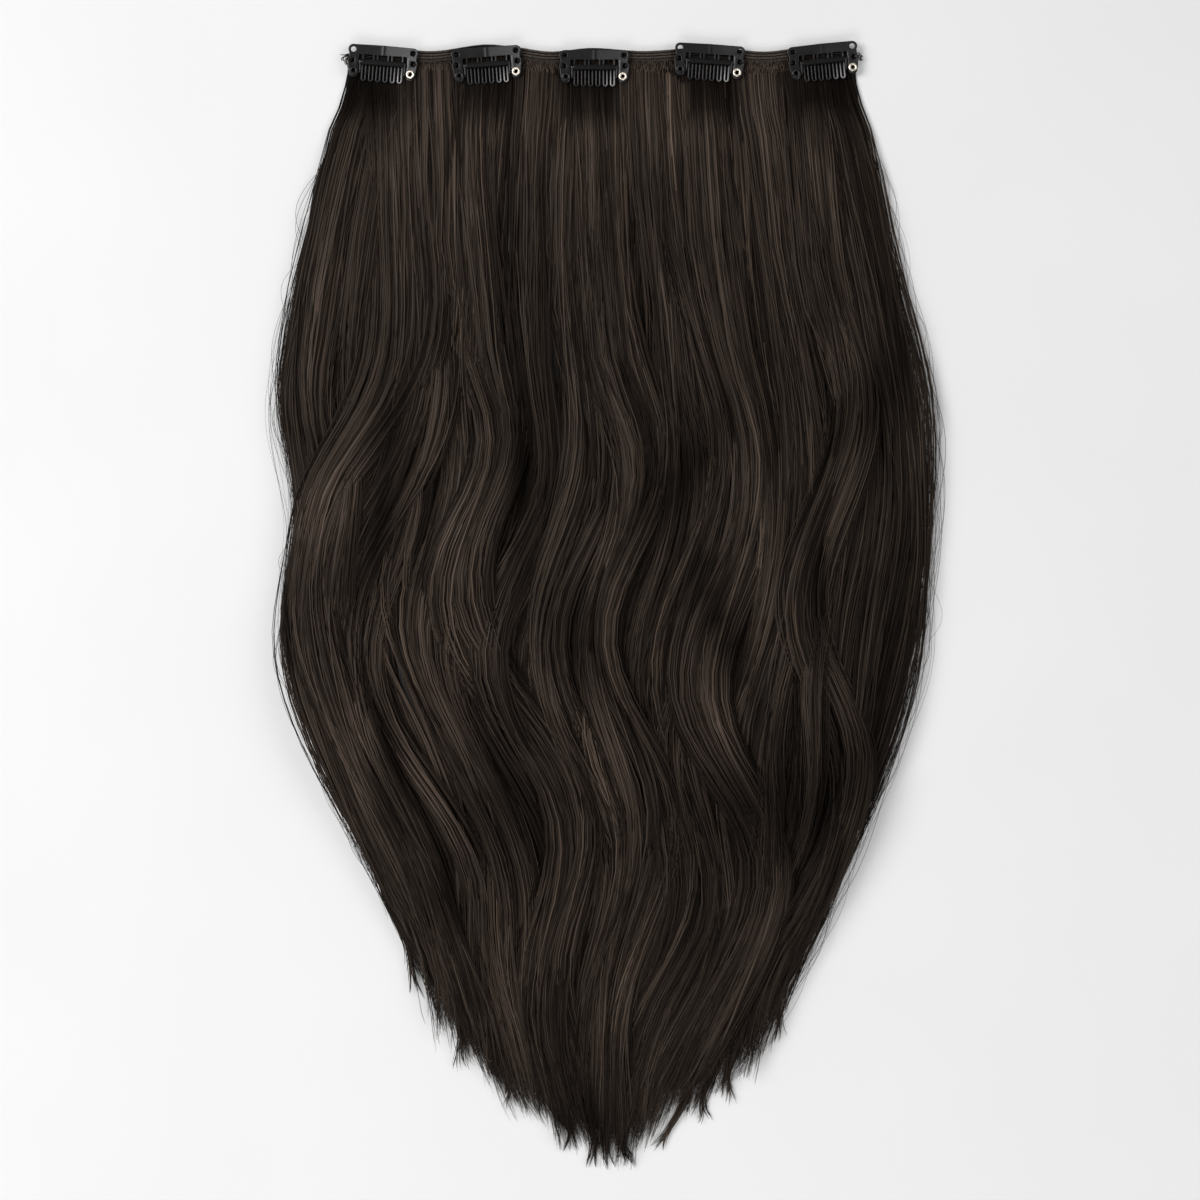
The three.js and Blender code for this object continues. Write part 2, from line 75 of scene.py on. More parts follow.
# %% Sizes shared with the CAD part
MM = 0.001
BAND_WIDTH = 232 * MM
BAND_HEIGHT = 6 * MM
BAND_RIPPLE = 2.3 * MM
SEAM_GAP = 0.3 * MM
HAIR_DROP = 506 * MM
HAIR_HALF_WIDTH = 150 * MM
HAIR_RISE = 14 * MM
ROOT_RISE = 2 * MM
ROOT_SETTLE = 0.1

band_low, band_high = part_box("weft_band")
hair_low, hair_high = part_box("hair")
MIDDLE_X = (band_low[0] + band_high[0]) / 2
BAND_LINE_Y = hair_low[1] + HAIR_DROP + BAND_HEIGHT + SEAM_GAP
print(f"band's middle x {MIDDLE_X:.4f} m, band's line y {BAND_LINE_Y:.4f} m")

# %% [markdown]
# ## Camera, floor and light
# The photograph looks straight down on a white table. The camera stands far enough off that the hair's
# thickness hardly shows. A large soft light and a small one hang to the left, so each lock shades its right
# neighbour and the right half of every bowed clip catches the light. Two fills and a pale room do the rest.

# %% Camera above the table
PHOTO_PIXEL = 0.457 * MM
PHOTO_MIDDLE = 600
PHOTO_BAND_X = 601.5
PHOTO_BAND_Y = 50
LENS = 85
SENSOR = 36


def spot(photo_x, photo_y):
    """Where a pixel of the photograph lies on the table."""
    x = MIDDLE_X + (photo_x - PHOTO_BAND_X) * PHOTO_PIXEL
    y = BAND_LINE_Y - (photo_y - PHOTO_BAND_Y) * PHOTO_PIXEL
    return Vector((x, y, 0))


def add_object(name, data):
    thing = bpy.data.objects.new(name, data)
    bpy.context.collection.objects.link(thing)
    return thing


lens = bpy.data.cameras.new("camera")
lens.lens = LENS
lens.sensor_width = SENSOR
camera = add_object("camera", lens)
camera_height = PHOTO_MIDDLE * PHOTO_PIXEL * LENS / (SENSOR / 2)
camera.location = spot(PHOTO_MIDDLE, PHOTO_MIDDLE) + Vector((0, 0, camera_height))
bpy.context.scene.camera = camera
print(f"camera {camera_height:.3f} m above the table")

# %% Table top
TABLE_DROP = 0.3 * MM
TABLE_REACH = 3.0

table = bpy.data.meshes.new("table_top")
corners = [(-1, -1), (1, -1), (1, 1), (-1, 1)]
table.from_pydata([(x * TABLE_REACH, y * TABLE_REACH, -TABLE_DROP) for x, y in corners], [], [(0, 1, 2, 3)])
table_top = add_object("table_top", table)


# %% Light from the left
def soft_light(name, place, size, power):
    lamp = bpy.data.lights.new(name, "AREA")
    lamp.shape = "DISK"
    lamp.size = size
    lamp.energy = power
    holder = add_object(name, lamp)
    holder.location = place
    holder.rotation_euler = (-Vector(place)).to_track_quat("-Z", "Y").to_euler()
    return holder


soft_light("window", (-1.35, 0.5, 1.5), 1.2, 24)
soft_light("near_window", (-0.62, 0.62, 1.6), 0.45, 3.5)
soft_light("right_fill", (1.5, 0.0, 1.3), 1.3, 8.8)
soft_light("front_fill", (-0.4, -1.35, 1.2), 1.0, 10.5)
world = bpy.data.worlds.new("pale_room")
world.use_nodes = True
world.node_tree.nodes["Background"].inputs["Color"].default_value = (1, 0.985, 0.97, 1)
world.node_tree.nodes["Background"].inputs["Strength"].default_value = 0.23
bpy.context.scene.world = world
bpy.context.scene.view_settings.view_transform = "Standard"
print("two lights on the left, two fills and a pale room")


# %% [markdown]
# ## Materials
# A short helper adds nodes to a tree, so that each finish reads as a recipe. Constant values go straight on
# the shader's sockets. Patterns read Object coordinates or the piece's own attributes, so they stay where
# they are when a clip's bar swings.

# %% A helper for node trees
class Tree:
    """A node tree, with short ways to add nodes and join them."""

    def __init__(self, tree):
        self.tree = tree

    def join(self, value, socket):
        if isinstance(value, bpy.types.NodeSocket):
            self.tree.links.new(value, socket)
        else:
            socket.default_value = value

    def node(self, kind, sockets=None, **settings):
        made = self.tree.nodes.new(kind)
        for key, value in settings.items():
            setattr(made, key, value)
        for key, value in (sockets or {}).items():
            self.join(value, made.inputs[key])
        return made

    def first(self, kind, sockets=None, **settings):
        """A new node's first output."""
        return self.node(kind, sockets, **settings).outputs[0]

    def math(self, operation, a, b=0.0):
        return self.first("ShaderNodeMath", {0: a, 1: b}, operation=operation)

    def plus(self, a, b):
        return self.math("ADD", a, b)

    def minus(self, a, b):
        return self.math("SUBTRACT", a, b)

    def times(self, a, b):
        return self.math("MULTIPLY", a, b)

    def xyz(self, x, y, z):
        return self.first("ShaderNodeCombineXYZ", {0: x, 1: y, 2: z})


# %% A helper for finishes
class Finish(Tree):
    """A material and its shader tree."""

    def __init__(self, name, **constants):
        self.material = bpy.data.materials.new(name)
        self.material.use_nodes = True
        super().__init__(self.material.node_tree)
        self.surface = self.tree.nodes["Principled BSDF"].inputs
        self.wear(**constants)

    def wear(self, **sockets):
        """Puts numbers, colours or patterns on the shader's own sockets."""
        for socket, value in sockets.items():
            self.join(value, self.surface[socket.replace("_", " ")])

    def ramp(self, value, stops):
        made = self.node("ShaderNodeValToRGB", {"Fac": value})
        points = made.color_ramp.elements
        while len(points) < len(stops):
            points.new(0.5)
        for point, (place, colour) in zip(points, stops):
            point.position = place
            point.color = (*colour, 1)
        return made.outputs["Color"]

    def noise(self, vector, scale, detail=2.0):
        sockets = {"Vector": vector, "Scale": scale, "Detail": detail}
        return self.node("ShaderNodeTexNoise", sockets).outputs["Fac"]

    def attribute(self, name):
        return self.node("ShaderNodeAttribute", attribute_name=name).outputs["Fac"]

    def place(self):
        return self.node("ShaderNodeTexCoord").outputs["Object"]

    def stretched_place(self, scale):
        return self.first("ShaderNodeMapping", {"Vector": self.place(), "Scale": scale})

    def mix(self, start, end, share):
        return self.node("ShaderNodeMix", {6: start, 7: end, 0: share}, data_type="RGBA").outputs[2]

    def bump(self, height, distance, strength=1.0):
        sockets = {"Height": height, "Distance": distance, "Strength": strength}
        self.wear(Normal=self.first("ShaderNodeBump", sockets))


# %% Table finish
paper = Finish("white_table", Roughness=0.7)
paper_grain = paper.noise(paper.place(), 9.0)
paper.wear(Base_Color=paper.ramp(paper_grain, [(0.3, (0.86, 0.86, 0.865)), (0.7, (0.88, 0.88, 0.885))]))
table_top.data.materials.append(paper.material)

# %% [markdown]
# ## The fall of hair
# The CAD part has sixteen solid locks. Real hair is thousands of strands, so each lock is divided here
# into finer locks, and Geometry Nodes combs a few dozen strands along each. A strand is a narrow ribbon,
# the way hair is made for film and games: it is light enough to fill the fall, and its tilt catches the
# light as the round lock under it would.

# %% The CAD part's tables
BAND_LINE = np.array([
    # along, height
    (-1.0, -1.0), (-0.85, 0.2), (-0.66, -0.3), (-0.46, 1.0), (-0.34, 0.5), (-0.2, -0.4),
    (-0.04, 0.3), (0.17, -0.3), (0.43, 0.5), (0.64, -0.4), (0.86, 0.8), (1.0, 0.0),
])
SECTION_COLUMNS = ("down", "left", "right", "gather", "sway", "rise")
SECTIONS = np.array([
    (0.0, 0.77, 0.77, 0.77, 0.0, 0.0),
    (0.04, 0.8, 0.78, 0.79, 0.0, 0.04),
    (0.1, 0.86, 0.83, 0.85, -0.1, 0.3),
    (0.2, 0.93, 0.91, 0.92, 0.0, 0.5),
    (0.3, 0.99, 0.98, 0.98, 0.58, 0.7),
    (0.41, 0.92, 1.0, 0.96, 0.0, 0.8),
    (0.47, 0.95, 0.99, 0.97, -0.73, 0.9),
    (0.54, 0.96, 0.96, 0.96, -0.2, 1.0),
    (0.63, 0.85, 0.87, 0.86, 0.73, 1.0),
    (0.7, 0.75, 0.77, 0.77, 1.0, 0.95),
    (0.78, 0.6, 0.66, 0.65, 0.5, 0.8),
    (0.86, 0.45, 0.52, 0.53, -0.2, 0.6),
    (0.93, 0.31, 0.38, 0.43, -0.1, 0.4),
    (1.0, 0.04, 0.05, 0.34, 0.0, 0.2),
])
# how far the free hair swings to the right, as a share of each lock's own swing
WAVE = np.array([
    # down, sway
    (0.0, 0.0), (0.1, 0.0), (0.2, 0.1), (0.28, 0.5), (0.34, 0.85), (0.4, 0.55), (0.46, -0.35), (0.52, -0.95),
    (0.58, -0.6), (0.64, 0.25), (0.7, 0.95), (0.76, 0.6), (0.82, -0.2), (0.88, -0.4), (0.94, 0.0), (1.0, 0.0),
])
# how far locks swing and how late the waves come, from the left edge to the right edge
SWINGS = np.array([
    # across, swing in mm, late
    (-1.0, 1.0, 0.0), (-0.85, 7.0, 0.0), (-0.65, 12.0, 0.0), (-0.45, 13.0, 0.0), (-0.2, 15.0, 0.0),
    (0.0, 14.0, 0.02), (0.2, 13.0, 0.03), (0.4, 13.0, 0.05), (0.6, 9.0, 0.06), (0.8, 6.0, 0.0),
    (1.0, 1.0, 0.0),
])


def smooth_table(rows, column, share):
    """A column's value at a share of the way, on a smooth curve through the rows."""
    place = rows[:, 0]
    value = rows[:, column]
    slope = np.gradient(value, place)
    slope[1:-1] = (value[2:] - value[:-2]) / (place[2:] - place[:-2])
    share = np.clip(share, place[0], place[-1])
    i = np.clip(np.searchsorted(place, share, side="right") - 1, 0, len(place) - 2)
    gap = place[i + 1] - place[i]
    t = (share - place[i]) / gap
    ease = t * t * (3 - 2 * t)
    start = t * (1 - t) ** 2 * gap * slope[i]
    end = t * t * (t - 1) * gap * slope[i + 1]
    return value[i] * (1 - ease) + value[i + 1] * ease + start + end


def section(column, down):
    return smooth_table(SECTIONS, SECTION_COLUMNS.index(column), down)


def smoothstep(value, low, high):
    t = np.clip((value - low) / (high - low), 0, 1)
    return t * t * (3 - 2 * t)


def band_line_at(x):
    """Height of the band's top edge over its mean line, x counted from the band's middle."""
    return BAND_RIPPLE * smooth_table(BAND_LINE, 1, x / (BAND_WIDTH / 2))


def reach_at(column, down):
    free = smoothstep(down, 0, ROOT_SETTLE)
    return (1 - free) * BAND_WIDTH / 2 + free * HAIR_HALF_WIDTH * section(column, down)


def rise_at(down):
    return ROOT_RISE + (HAIR_RISE - ROOT_RISE) * section("rise", down)


print(f"hair is {2000 * reach_at('left', np.array(0.3)):.0f} mm wide at a third of its drop")

# %% [markdown]
# Each lock is first a guide: a chain of points down its middle, which also carries how wide and how thick
# the lock is there and how far its cross-section has rolled over. Guides are plain mesh edges, because a
# mesh carries such values by name into Geometry Nodes.

# %% Values on a mesh's points
def give(mesh, name, values):
    """Stores one number for each of a mesh's points."""
    made = mesh.attributes.new(name, "FLOAT", "POINT")
    made.data.foreach_set("value", np.asarray(values, dtype=np.float32))


def point_places(mesh):
    places = np.empty(len(mesh.vertices) * 3)
    mesh.vertices.foreach_get("co", places)
    return places.reshape(-1, 3)


# %% Guides down the middle of each lock
GUIDE_POINTS = 36
GUIDE_VALUES = ("half_width", "half_rise", "roll", "down", "level", "lock_tone")
CLIP_REACH = 16 * MM
pick = np.random.default_rng(7)
GAP_PLACES = [0, 0.06, 0.1, 0.16, 0.22, 1]
GAP_SIZES = [0.9, 0.9, 2.2, 2.2, 1, 1]
guide_gaps = np.interp(np.linspace(0, 1, GUIDE_POINTS - 1), GAP_PLACES, GAP_SIZES)
guide_shares = np.concatenate([[0], np.cumsum(guide_gaps) / guide_gaps.sum()])
clip_middles = [joint["pos_m"][0] - MIDDLE_X for joint in frame["joints"]]


def near_clip(x):
    """1 under a clip, 0 well clear of every clip."""
    away = np.min([abs(x - middle) for middle in clip_middles], axis=0)
    return 1 - smoothstep(away, CLIP_REACH - 3 * MM, CLIP_REACH + 4 * MM)


def smoothed(values, passes=4):
    """Rounds the corners of a chain of values and keeps its ends."""
    for _ in range(passes):
        values = np.concatenate([values[:1], (values[:-2] + 2 * values[1:-1] + values[2:]) / 4, values[-1:]])
    return values


def kept_within(values, low, high, ease=3.5 * MM):
    """Limits values to a range, easing towards each limit."""
    values = low + ease * np.logaddexp(0, (values - low) / ease)
    return high - ease * np.logaddexp(0, (high - values) / ease)


def lock_end(across):
    """How far down a lock ends: the middle of the fall is its longest part."""
    return 1 - (0.115 if across < 0 else 0.095) * abs(across) ** 1.7


def lock_guide(across, half_width, low, high, level, jitter=1.0, path=None, starts=0.0, ends=None, slack=0.0):
    """Points down one lock, with the values that its strands need there."""
    ends = ends or min(1.0, lock_end(across) + pick.uniform(-0.03, 0.012) * jitter)
    down = starts + guide_shares * (ends - starts)
    free = smoothstep(down, 0.02, 0.25)
    left = reach_at("left", down)
    right = reach_at("right", down)
    outline = left if across < 0 else right
    spread = reach_at("gather", down)
    spread = spread + (outline - spread) * np.maximum(across**2, smoothstep(down, 0.86, 1.0))
    swing = smooth_table(SWINGS, 1, across) * MM * (1 + 0.25 * jitter * pick.uniform(-1, 1))
    late = smooth_table(SWINGS, 2, across) + 0.02 * jitter * pick.uniform(-1, 1)
    phase = pick.uniform(0, 2 * math.pi)
    ripple = pick.uniform(0.3, 1.8) * MM * jitter * free * np.sin(down * 28 + phase)
    if path is None:
        x = across * spread + swing * smooth_table(WAVE, 1, down - late)
    else:
        x = smooth_table(path, 1, down)
    narrowing = np.sqrt(1 - 0.9 * (down / ends) ** 5)
    breath = 1 + 0.22 * free * np.sin(down * 19 + phase * 2)
    wide = half_width * narrowing * breath
    inset = wide * (1.1 - 0.4 * smoothstep(down, 0.0, 0.08))
    x = smoothed(kept_within(x + ripple, inset - left - slack, right + slack - inset))
    held = np.interp(0.88, guide_shares, x)
    x = x + (held - x) * pick.uniform(0, 0.55) * jitter * smoothstep(guide_shares, 0.88, 1.0)
    root_y = band_line_at(x[0]) - BAND_HEIGHT
    tip_y = -HAIR_DROP - BAND_HEIGHT
    rise = rise_at(down)
    heave = 1 + 0.22 * free * np.sin(down * 21 + phase)
    crest = free * np.sin(down * 21 + phase)
    # Painted shade under the clips: near a clip's place the strands' colour is darkened at the roots.
    clip_shade = near_clip(x) * (1 - smoothstep(down, 0.03, 0.085))
    puff = 2.2 * MM * (1 - near_clip(x)) * smoothstep(down, 0.0, 0.03) * (1 - smoothstep(down, 0.06, 0.16))
    return {
        "x": MIDDLE_X + x,
        "y": BAND_LINE_Y + root_y + (tip_y - root_y) * down,
        "z": rise * (low + high) / 2 * heave - rise * (high - low) / 4 + puff * (low + high) / 2,
        "half_width": wide,
        "half_rise": rise * (high - low) / 2 * narrowing,
        "roll": 0.6 * pick.uniform(-1, 1) * free * np.sin(down * 15 + phase),
        "down": down,
        # Painted light and shade for the strands' colour: darker for lower layers and under the clips,
        # lighter on the waves' crests.
        "level": (level + 0.2 * crest) * (1 - clip_shade) - 0.5 * clip_shade,
        "lock_tone": np.full(GUIDE_POINTS, pick.uniform(0, 1)),
    }


def guide_mesh(name, guides):
    """One mesh of edge chains, with the guides' values as attributes of its points."""
    mesh = bpy.data.meshes.new(name)
    count = len(guides) * GUIDE_POINTS
    mesh.vertices.add(count)
    stack = {key: np.concatenate([guide[key] for guide in guides]) for key in guides[0]}
    mesh.vertices.foreach_set("co", np.stack([stack["x"], stack["y"], stack["z"]], axis=1).ravel())
    starts = np.arange(count).reshape(-1, GUIDE_POINTS)[:, :-1].ravel()
    mesh.edges.add(len(starts))
    mesh.edges.foreach_set("vertices", np.stack([starts, starts + 1], axis=1).ravel())
    for key in GUIDE_VALUES:
        give(mesh, key, stack[key])
    return mesh


# %% [markdown]
# The comb is one Geometry Nodes tree that every group of locks shares. It copies each guide once for each
# strand, gathers strands into wisps of a few, places each wisp on the lock's round back, lets it wander
# a little, cuts it to its own length, and turns it into a tilted ribbon that narrows at its tip.

# %% A helper for geometry trees
class Recipe(Tree):
    """A Geometry Nodes tree with named inputs."""

    def __init__(self, name, inputs):
        super().__init__(bpy.data.node_groups.new(name, "GeometryNodeTree"))
        side = self.tree.interface
        side.new_socket("Geometry", in_out="OUTPUT", socket_type="NodeSocketGeometry")
        side.new_socket("Geometry", in_out="INPUT", socket_type="NodeSocketGeometry")
        for label, (kind, value) in inputs.items():
            socket = side.new_socket(label, in_out="INPUT", socket_type=kind)
            if value is not None:
                socket.default_value = value
        self.start = self.tree.nodes.new("NodeGroupInput").outputs
        self.end = self.tree.nodes.new("NodeGroupOutput").inputs

    def random(self, low, high, key, seed):
        sockets = {"Min_001": low, "Max_001": high, "ID": key, "Seed": seed}
        made = self.node("FunctionNodeRandomValue", data_type="FLOAT")
        for name, value in sockets.items():
            socket = next(s for s in made.inputs if s.identifier == name)
            self.join(value, socket)
        return next(s for s in made.outputs if s.identifier == "Value_001")

    def named(self, name):
        made = self.node("GeometryNodeInputNamedAttribute", {"Name": name}, data_type="FLOAT")
        return made.outputs["Attribute"]

    def store(self, geometry, name, value, domain="POINT", kind="FLOAT"):
        sockets = {"Geometry": geometry, "Name": name, "Value": value}
        return self.first("GeometryNodeStoreNamedAttribute", sockets, data_type=kind, domain=domain)

    def without(self, geometry, name):
        return self.first("GeometryNodeRemoveAttribute", {"Geometry": geometry, "Name": name})

    def noise(self, x, y, scale):
        sockets = {"Vector": self.xyz(x, y, 0.0), "Scale": scale, "Detail": 1.0}
        value = self.node("ShaderNodeTexNoise", sockets, noise_dimensions="2D").outputs["Fac"]
        return self.times(self.minus(value, 0.5), 2.0)

    def share_along(self):
        return self.node("GeometryNodeSplineParameter").outputs["Factor"]

    def finish(self, geometry, material):
        """Ends the tree with plain, smooth faces in their material."""
        geometry = self.first("GeometryNodeRealizeInstances", {"Geometry": geometry})
        geometry = self.first("GeometryNodeSetShadeSmooth", {"Geometry": geometry})
        geometry = self.first("GeometryNodeSetMaterial", {"Geometry": geometry, "Material": material})
        self.join(geometry, self.end["Geometry"])
        return self.tree


# %% The comb that lays strands along the guides
def build_comb():
    comb = Recipe("comb", {
        "Strands": ("NodeSocketInt", 60),
        "Strands in a wisp": ("NodeSocketInt", 4),
        "Ribbon half width": ("NodeSocketFloat", 0.24 * MM),
        "Wisp width": ("NodeSocketFloat", 1.3 * MM),
        "Wander": ("NodeSocketFloat", 3.4 * MM),
        "Tip splay": ("NodeSocketFloat", 5 * MM),
        "Shortest": ("NodeSocketFloat", 0.93),
        "Seed": ("NodeSocketInt", 1),
        "Hair": ("NodeSocketMaterial", None),
    })
    given = comb.start
    plus, minus, times, named = comb.plus, comb.minus, comb.times, comb.named

    def drawn(low, high, key, number):
        """A random number for each key, from a row of draws of its own."""
        return comb.random(low, high, key, plus(given["Seed"], number))

    # copy each guide once for each strand and number strands and wisps
    curves = comb.first("GeometryNodeMeshToCurve", {"Mesh": given["Geometry"]})
    repeat = {"Geometry": curves, "Amount": given["Strands"]}
    copies = comb.first("GeometryNodeDuplicateElements", repeat, domain="SPLINE")
    order = comb.first("GeometryNodeInputIndex")
    strand = comb.first("GeometryNodeFieldOnDomain", {"Value": order}, domain="CURVE", data_type="INT")
    wisp = comb.math("FLOOR", comb.math("DIVIDE", strand, given["Strands in a wisp"]))

    # cut each strand to its own length
    short_wisp = times(comb.math("POWER", comb.random(0.0, 1.0, wisp, given["Seed"]), 1.6), 0.8)
    short_strand = times(drawn(0.0, 1.0, strand, 11), 0.2)
    length = minus(1.0, times(plus(short_wisp, short_strand), minus(1.0, given["Shortest"])))
    trimmed = comb.first("GeometryNodeTrimCurve", {"Curve": copies, "End": length}, mode="FACTOR")
    marked = comb.store(trimmed, "strand", strand)
    marked = comb.store(marked, "wisp", wisp)
    marked = comb.store(marked, "along", comb.share_along())
    strand_key = named("strand")
    wisp_key = named("wisp")
    along = named("along")
    down = named("down")

    # give each wisp a place in the lock's cross-section, which rolls over on its way
    span = {"Value": down, "From Min": 0.0, "From Max": 0.12}
    free = comb.first("ShaderNodeMapRange", span, interpolation_type="SMOOTHSTEP")
    side_share = plus(drawn(-0.62, 0.62, wisp_key, 1), drawn(-0.62, 0.62, wisp_key, 2))
    depth_share = drawn(-1.0, 1.0, wisp_key, 3)
    cosine = comb.math("COSINE", named("roll"))
    sine = comb.math("SINE", named("roll"))
    turned = plus(times(side_share, cosine), times(depth_share, sine))
    inner = minus(times(depth_share, cosine), times(side_share, sine))
    round_back = comb.math("SQRT", comb.math("MAXIMUM", 0.06, minus(1.0, times(turned, turned))))
    height = times(round_back, plus(0.62, times(inner, 0.38)))

    # spread strands within their wisp and let both wander
    own = drawn(-1.0, 1.0, strand_key, 4)
    place = times(down, 5.0)
    breath = plus(1.0, comb.noise(place, times(wisp_key, 2.3), 1.0))
    pointed = minus(1.0, times(comb.math("POWER", along, 6.0), 0.7))
    within = times(times(own, given["Wisp width"]), times(breath, pointed))
    wisp_drift = comb.noise(place, plus(times(wisp_key, 3.1), 40.0), 1.0)
    strand_drift = comb.noise(times(down, 9.0), times(strand_key, 3.7), 1.0)
    drift = plus(wisp_drift, times(strand_drift, 0.3))
    wander = times(times(drift, given["Wander"]), free)
    splay = times(drawn(-1.0, 1.0, wisp_key, 10), given["Tip splay"])
    sideways = plus(times(turned, named("half_width")), plus(within, wander))
    sideways = plus(sideways, times(splay, comb.math("POWER", along, 9.0)))
    lift = plus(drawn(-0.45 * MM, 0.45 * MM, wisp_key, 5), drawn(-0.3 * MM, 0.3 * MM, strand_key, 12))
    upwards = plus(times(height, named("half_rise")), times(lift, free))

    # move the strands there, above the table
    aside = {0: comb.first("GeometryNodeInputPosition"), 1: comb.xyz(sideways, 0.0, 0.0)}
    moved = comb.first("ShaderNodeVectorMath", aside, operation="ADD")
    spot_parts = comb.node("ShaderNodeSeparateXYZ", {0: moved}).outputs
    lifted = comb.math("MAXIMUM", plus(spot_parts[2], upwards), 0.4 * MM)
    spots = {"Geometry": marked, "Position": comb.xyz(spot_parts[0], spot_parts[1], lifted)}
    combed = comb.first("GeometryNodeSetPosition", spots)

    # tilt each ribbon as the round lock's surface is there
    lean = comb.math("ARCTAN2", times(turned, named("half_rise")), times(round_back, named("half_width")))
    tilt = minus(drawn(-0.3, 0.3, strand_key, 6), lean)
    combed = comb.first("GeometryNodeSetCurveNormal", {"Curve": combed}, mode="Z_UP")
    combed = comb.first("GeometryNodeSetCurveTilt", {"Curve": combed, "Tilt": tilt})
    tone = plus(drawn(0.0, 0.75, strand_key, 7), drawn(0.0, 0.25, wisp_key, 8))
    combed = comb.store(combed, "tone", tone)
    combed = comb.store(combed, "height", height)

    # sweep a flat profile, narrower at the tip
    profile = comb.first("GeometryNodeCurvePrimitiveLine", {"Start": (-1, 0, 0), "End": (1, 0, 0)})
    profile = comb.store(profile, "edge", comb.share_along())
    tip = comb.math("POWER", along, 5.0)
    narrow = comb.math("SQRT", comb.math("MAXIMUM", minus(1.0, tip), 0.03))
    thick = drawn(0.55, 1.2, strand_key, 9)
    scale = times(times(given["Ribbon half width"], thick), narrow)
    sweep = {"Curve": combed, "Profile Curve": profile, "Scale": scale}
    ribbons = comb.first("GeometryNodeCurveToMesh", sweep)
    uv = comb.xyz(named("edge"), along, 0.0)
    ribbons = comb.store(ribbons, "UVMap", uv, domain="CORNER", kind="FLOAT2")
    for helper in ("edge", "along", "strand", "wisp", "half_width", "half_rise", "roll", "down"):
        ribbons = comb.without(ribbons, helper)
    return comb.finish(ribbons, given["Hair"])


comb_tree = build_comb()
print("comb tree has", len(comb_tree.nodes), "nodes")


# %% Run a tree and keep its mesh
def set_input(modifier, label, value):
    sockets = modifier.node_group.interface.items_tree
    socket = next(s for s in sockets if s.name == label and s.in_out == "INPUT")
    modifier[socket.identifier] = value


def grow(name, mesh, tree, **inputs):
    """A mesh object with the tree's result as its own plain mesh."""
    piece = add_object(name, mesh)
    modifier = piece.modifiers.new("grow", "NODES")
    modifier.node_group = tree
    for label, value in inputs.items():
        set_input(modifier, label.replace("_", " "), value)
    seen = piece.evaluated_get(bpy.context.evaluated_depsgraph_get())
    result = bpy.data.meshes.new_from_object(seen)
    piece.modifiers.clear()
    piece.data = result
    result.name = name
    result.calc_loop_triangles()
    print(f"{name}: {len(result.loop_triangles)} triangles")
    return piece


# %% [markdown]
# ## Hair finish
# A strand isn't one brown. Each has its own tone, a few are warmer, and finer streaks run along it, where
# several hairs lie side by side in one ribbon. Painted shade and light are multiplied into the colour: darker
# low in each lock, in lower layers and under the clips, lighter on the waves' crests. The gloss is satin, and
# the streaks roughen it unevenly.

# %% Hair finish
STREAKS_ACROSS = 3.0
STREAKS_ALONG = 6.0

hair = Finish("dark_brown_hair", Specular_IOR_Level=0.08, Specular_Tint=(1, 0.84, 0.72, 1))
tone = hair.attribute("tone")
height = hair.attribute("height")
level = hair.attribute("level")
ribbon = hair.node("ShaderNodeUVMap", uv_map="UVMap").outputs["UV"]
ribbon_place = hair.node("ShaderNodeSeparateXYZ", {0: ribbon}).outputs
streak_x = hair.times(ribbon_place[0], STREAKS_ACROSS)
streak_y = hair.times(ribbon_place[1], STREAKS_ALONG)
streak = hair.noise(hair.xyz(streak_x, streak_y, hair.times(tone, 50.0)), 2.0, 3.0)
shade = hair.plus(hair.times(tone, 0.8), hair.times(streak, 0.2))
shade = hair.plus(shade, hair.times(hair.attribute("lock_tone"), 0.16))
hair_colour = hair.ramp(shade, [
    (0.2, (0.0045, 0.0032, 0.0025)),
    (0.55, (0.027, 0.0196, 0.0154)),
    (0.8, (0.066, 0.049, 0.039)),
    (1.0, (0.105, 0.077, 0.058)),
])
# Painted shade and light, multiplied into the base colour: darker low in each lock, in lower layers and under
# clips, lighter on the listed wave crests.
painted_depth_shade = hair.plus(0.2, hair.times(height, 0.8))
in_light = hair.math("MAXIMUM", 0.05, hair.plus(0.4, hair.times(level, 0.6)))
painted_wave_light = hair.math("MAXIMUM", 0.1, hair.plus(1.0, hair.attribute("wave_light")))
painted_shading = hair.times(hair.times(painted_depth_shade, in_light), painted_wave_light)
hair.wear(
    Base_Color=hair.first("ShaderNodeVectorMath", {0: hair_colour, "Scale": painted_shading}, operation="SCALE"),
    Roughness=hair.math("MAXIMUM", 0.34, hair.minus(0.85, hair.times(painted_shading, 0.5))),
)
hair.bump(streak, 0.1 * MM, 0.4)

# %% [markdown]
# ## Core of the fall
# Under the strands lies a plain dark body, a little narrower than the whole fall. It keeps the table from
# showing between strands, and its near-black colour is painted shade that gives the gaps their depth.

# %% Core
CORE_ACROSS = 40
CORE_DOWN = 64


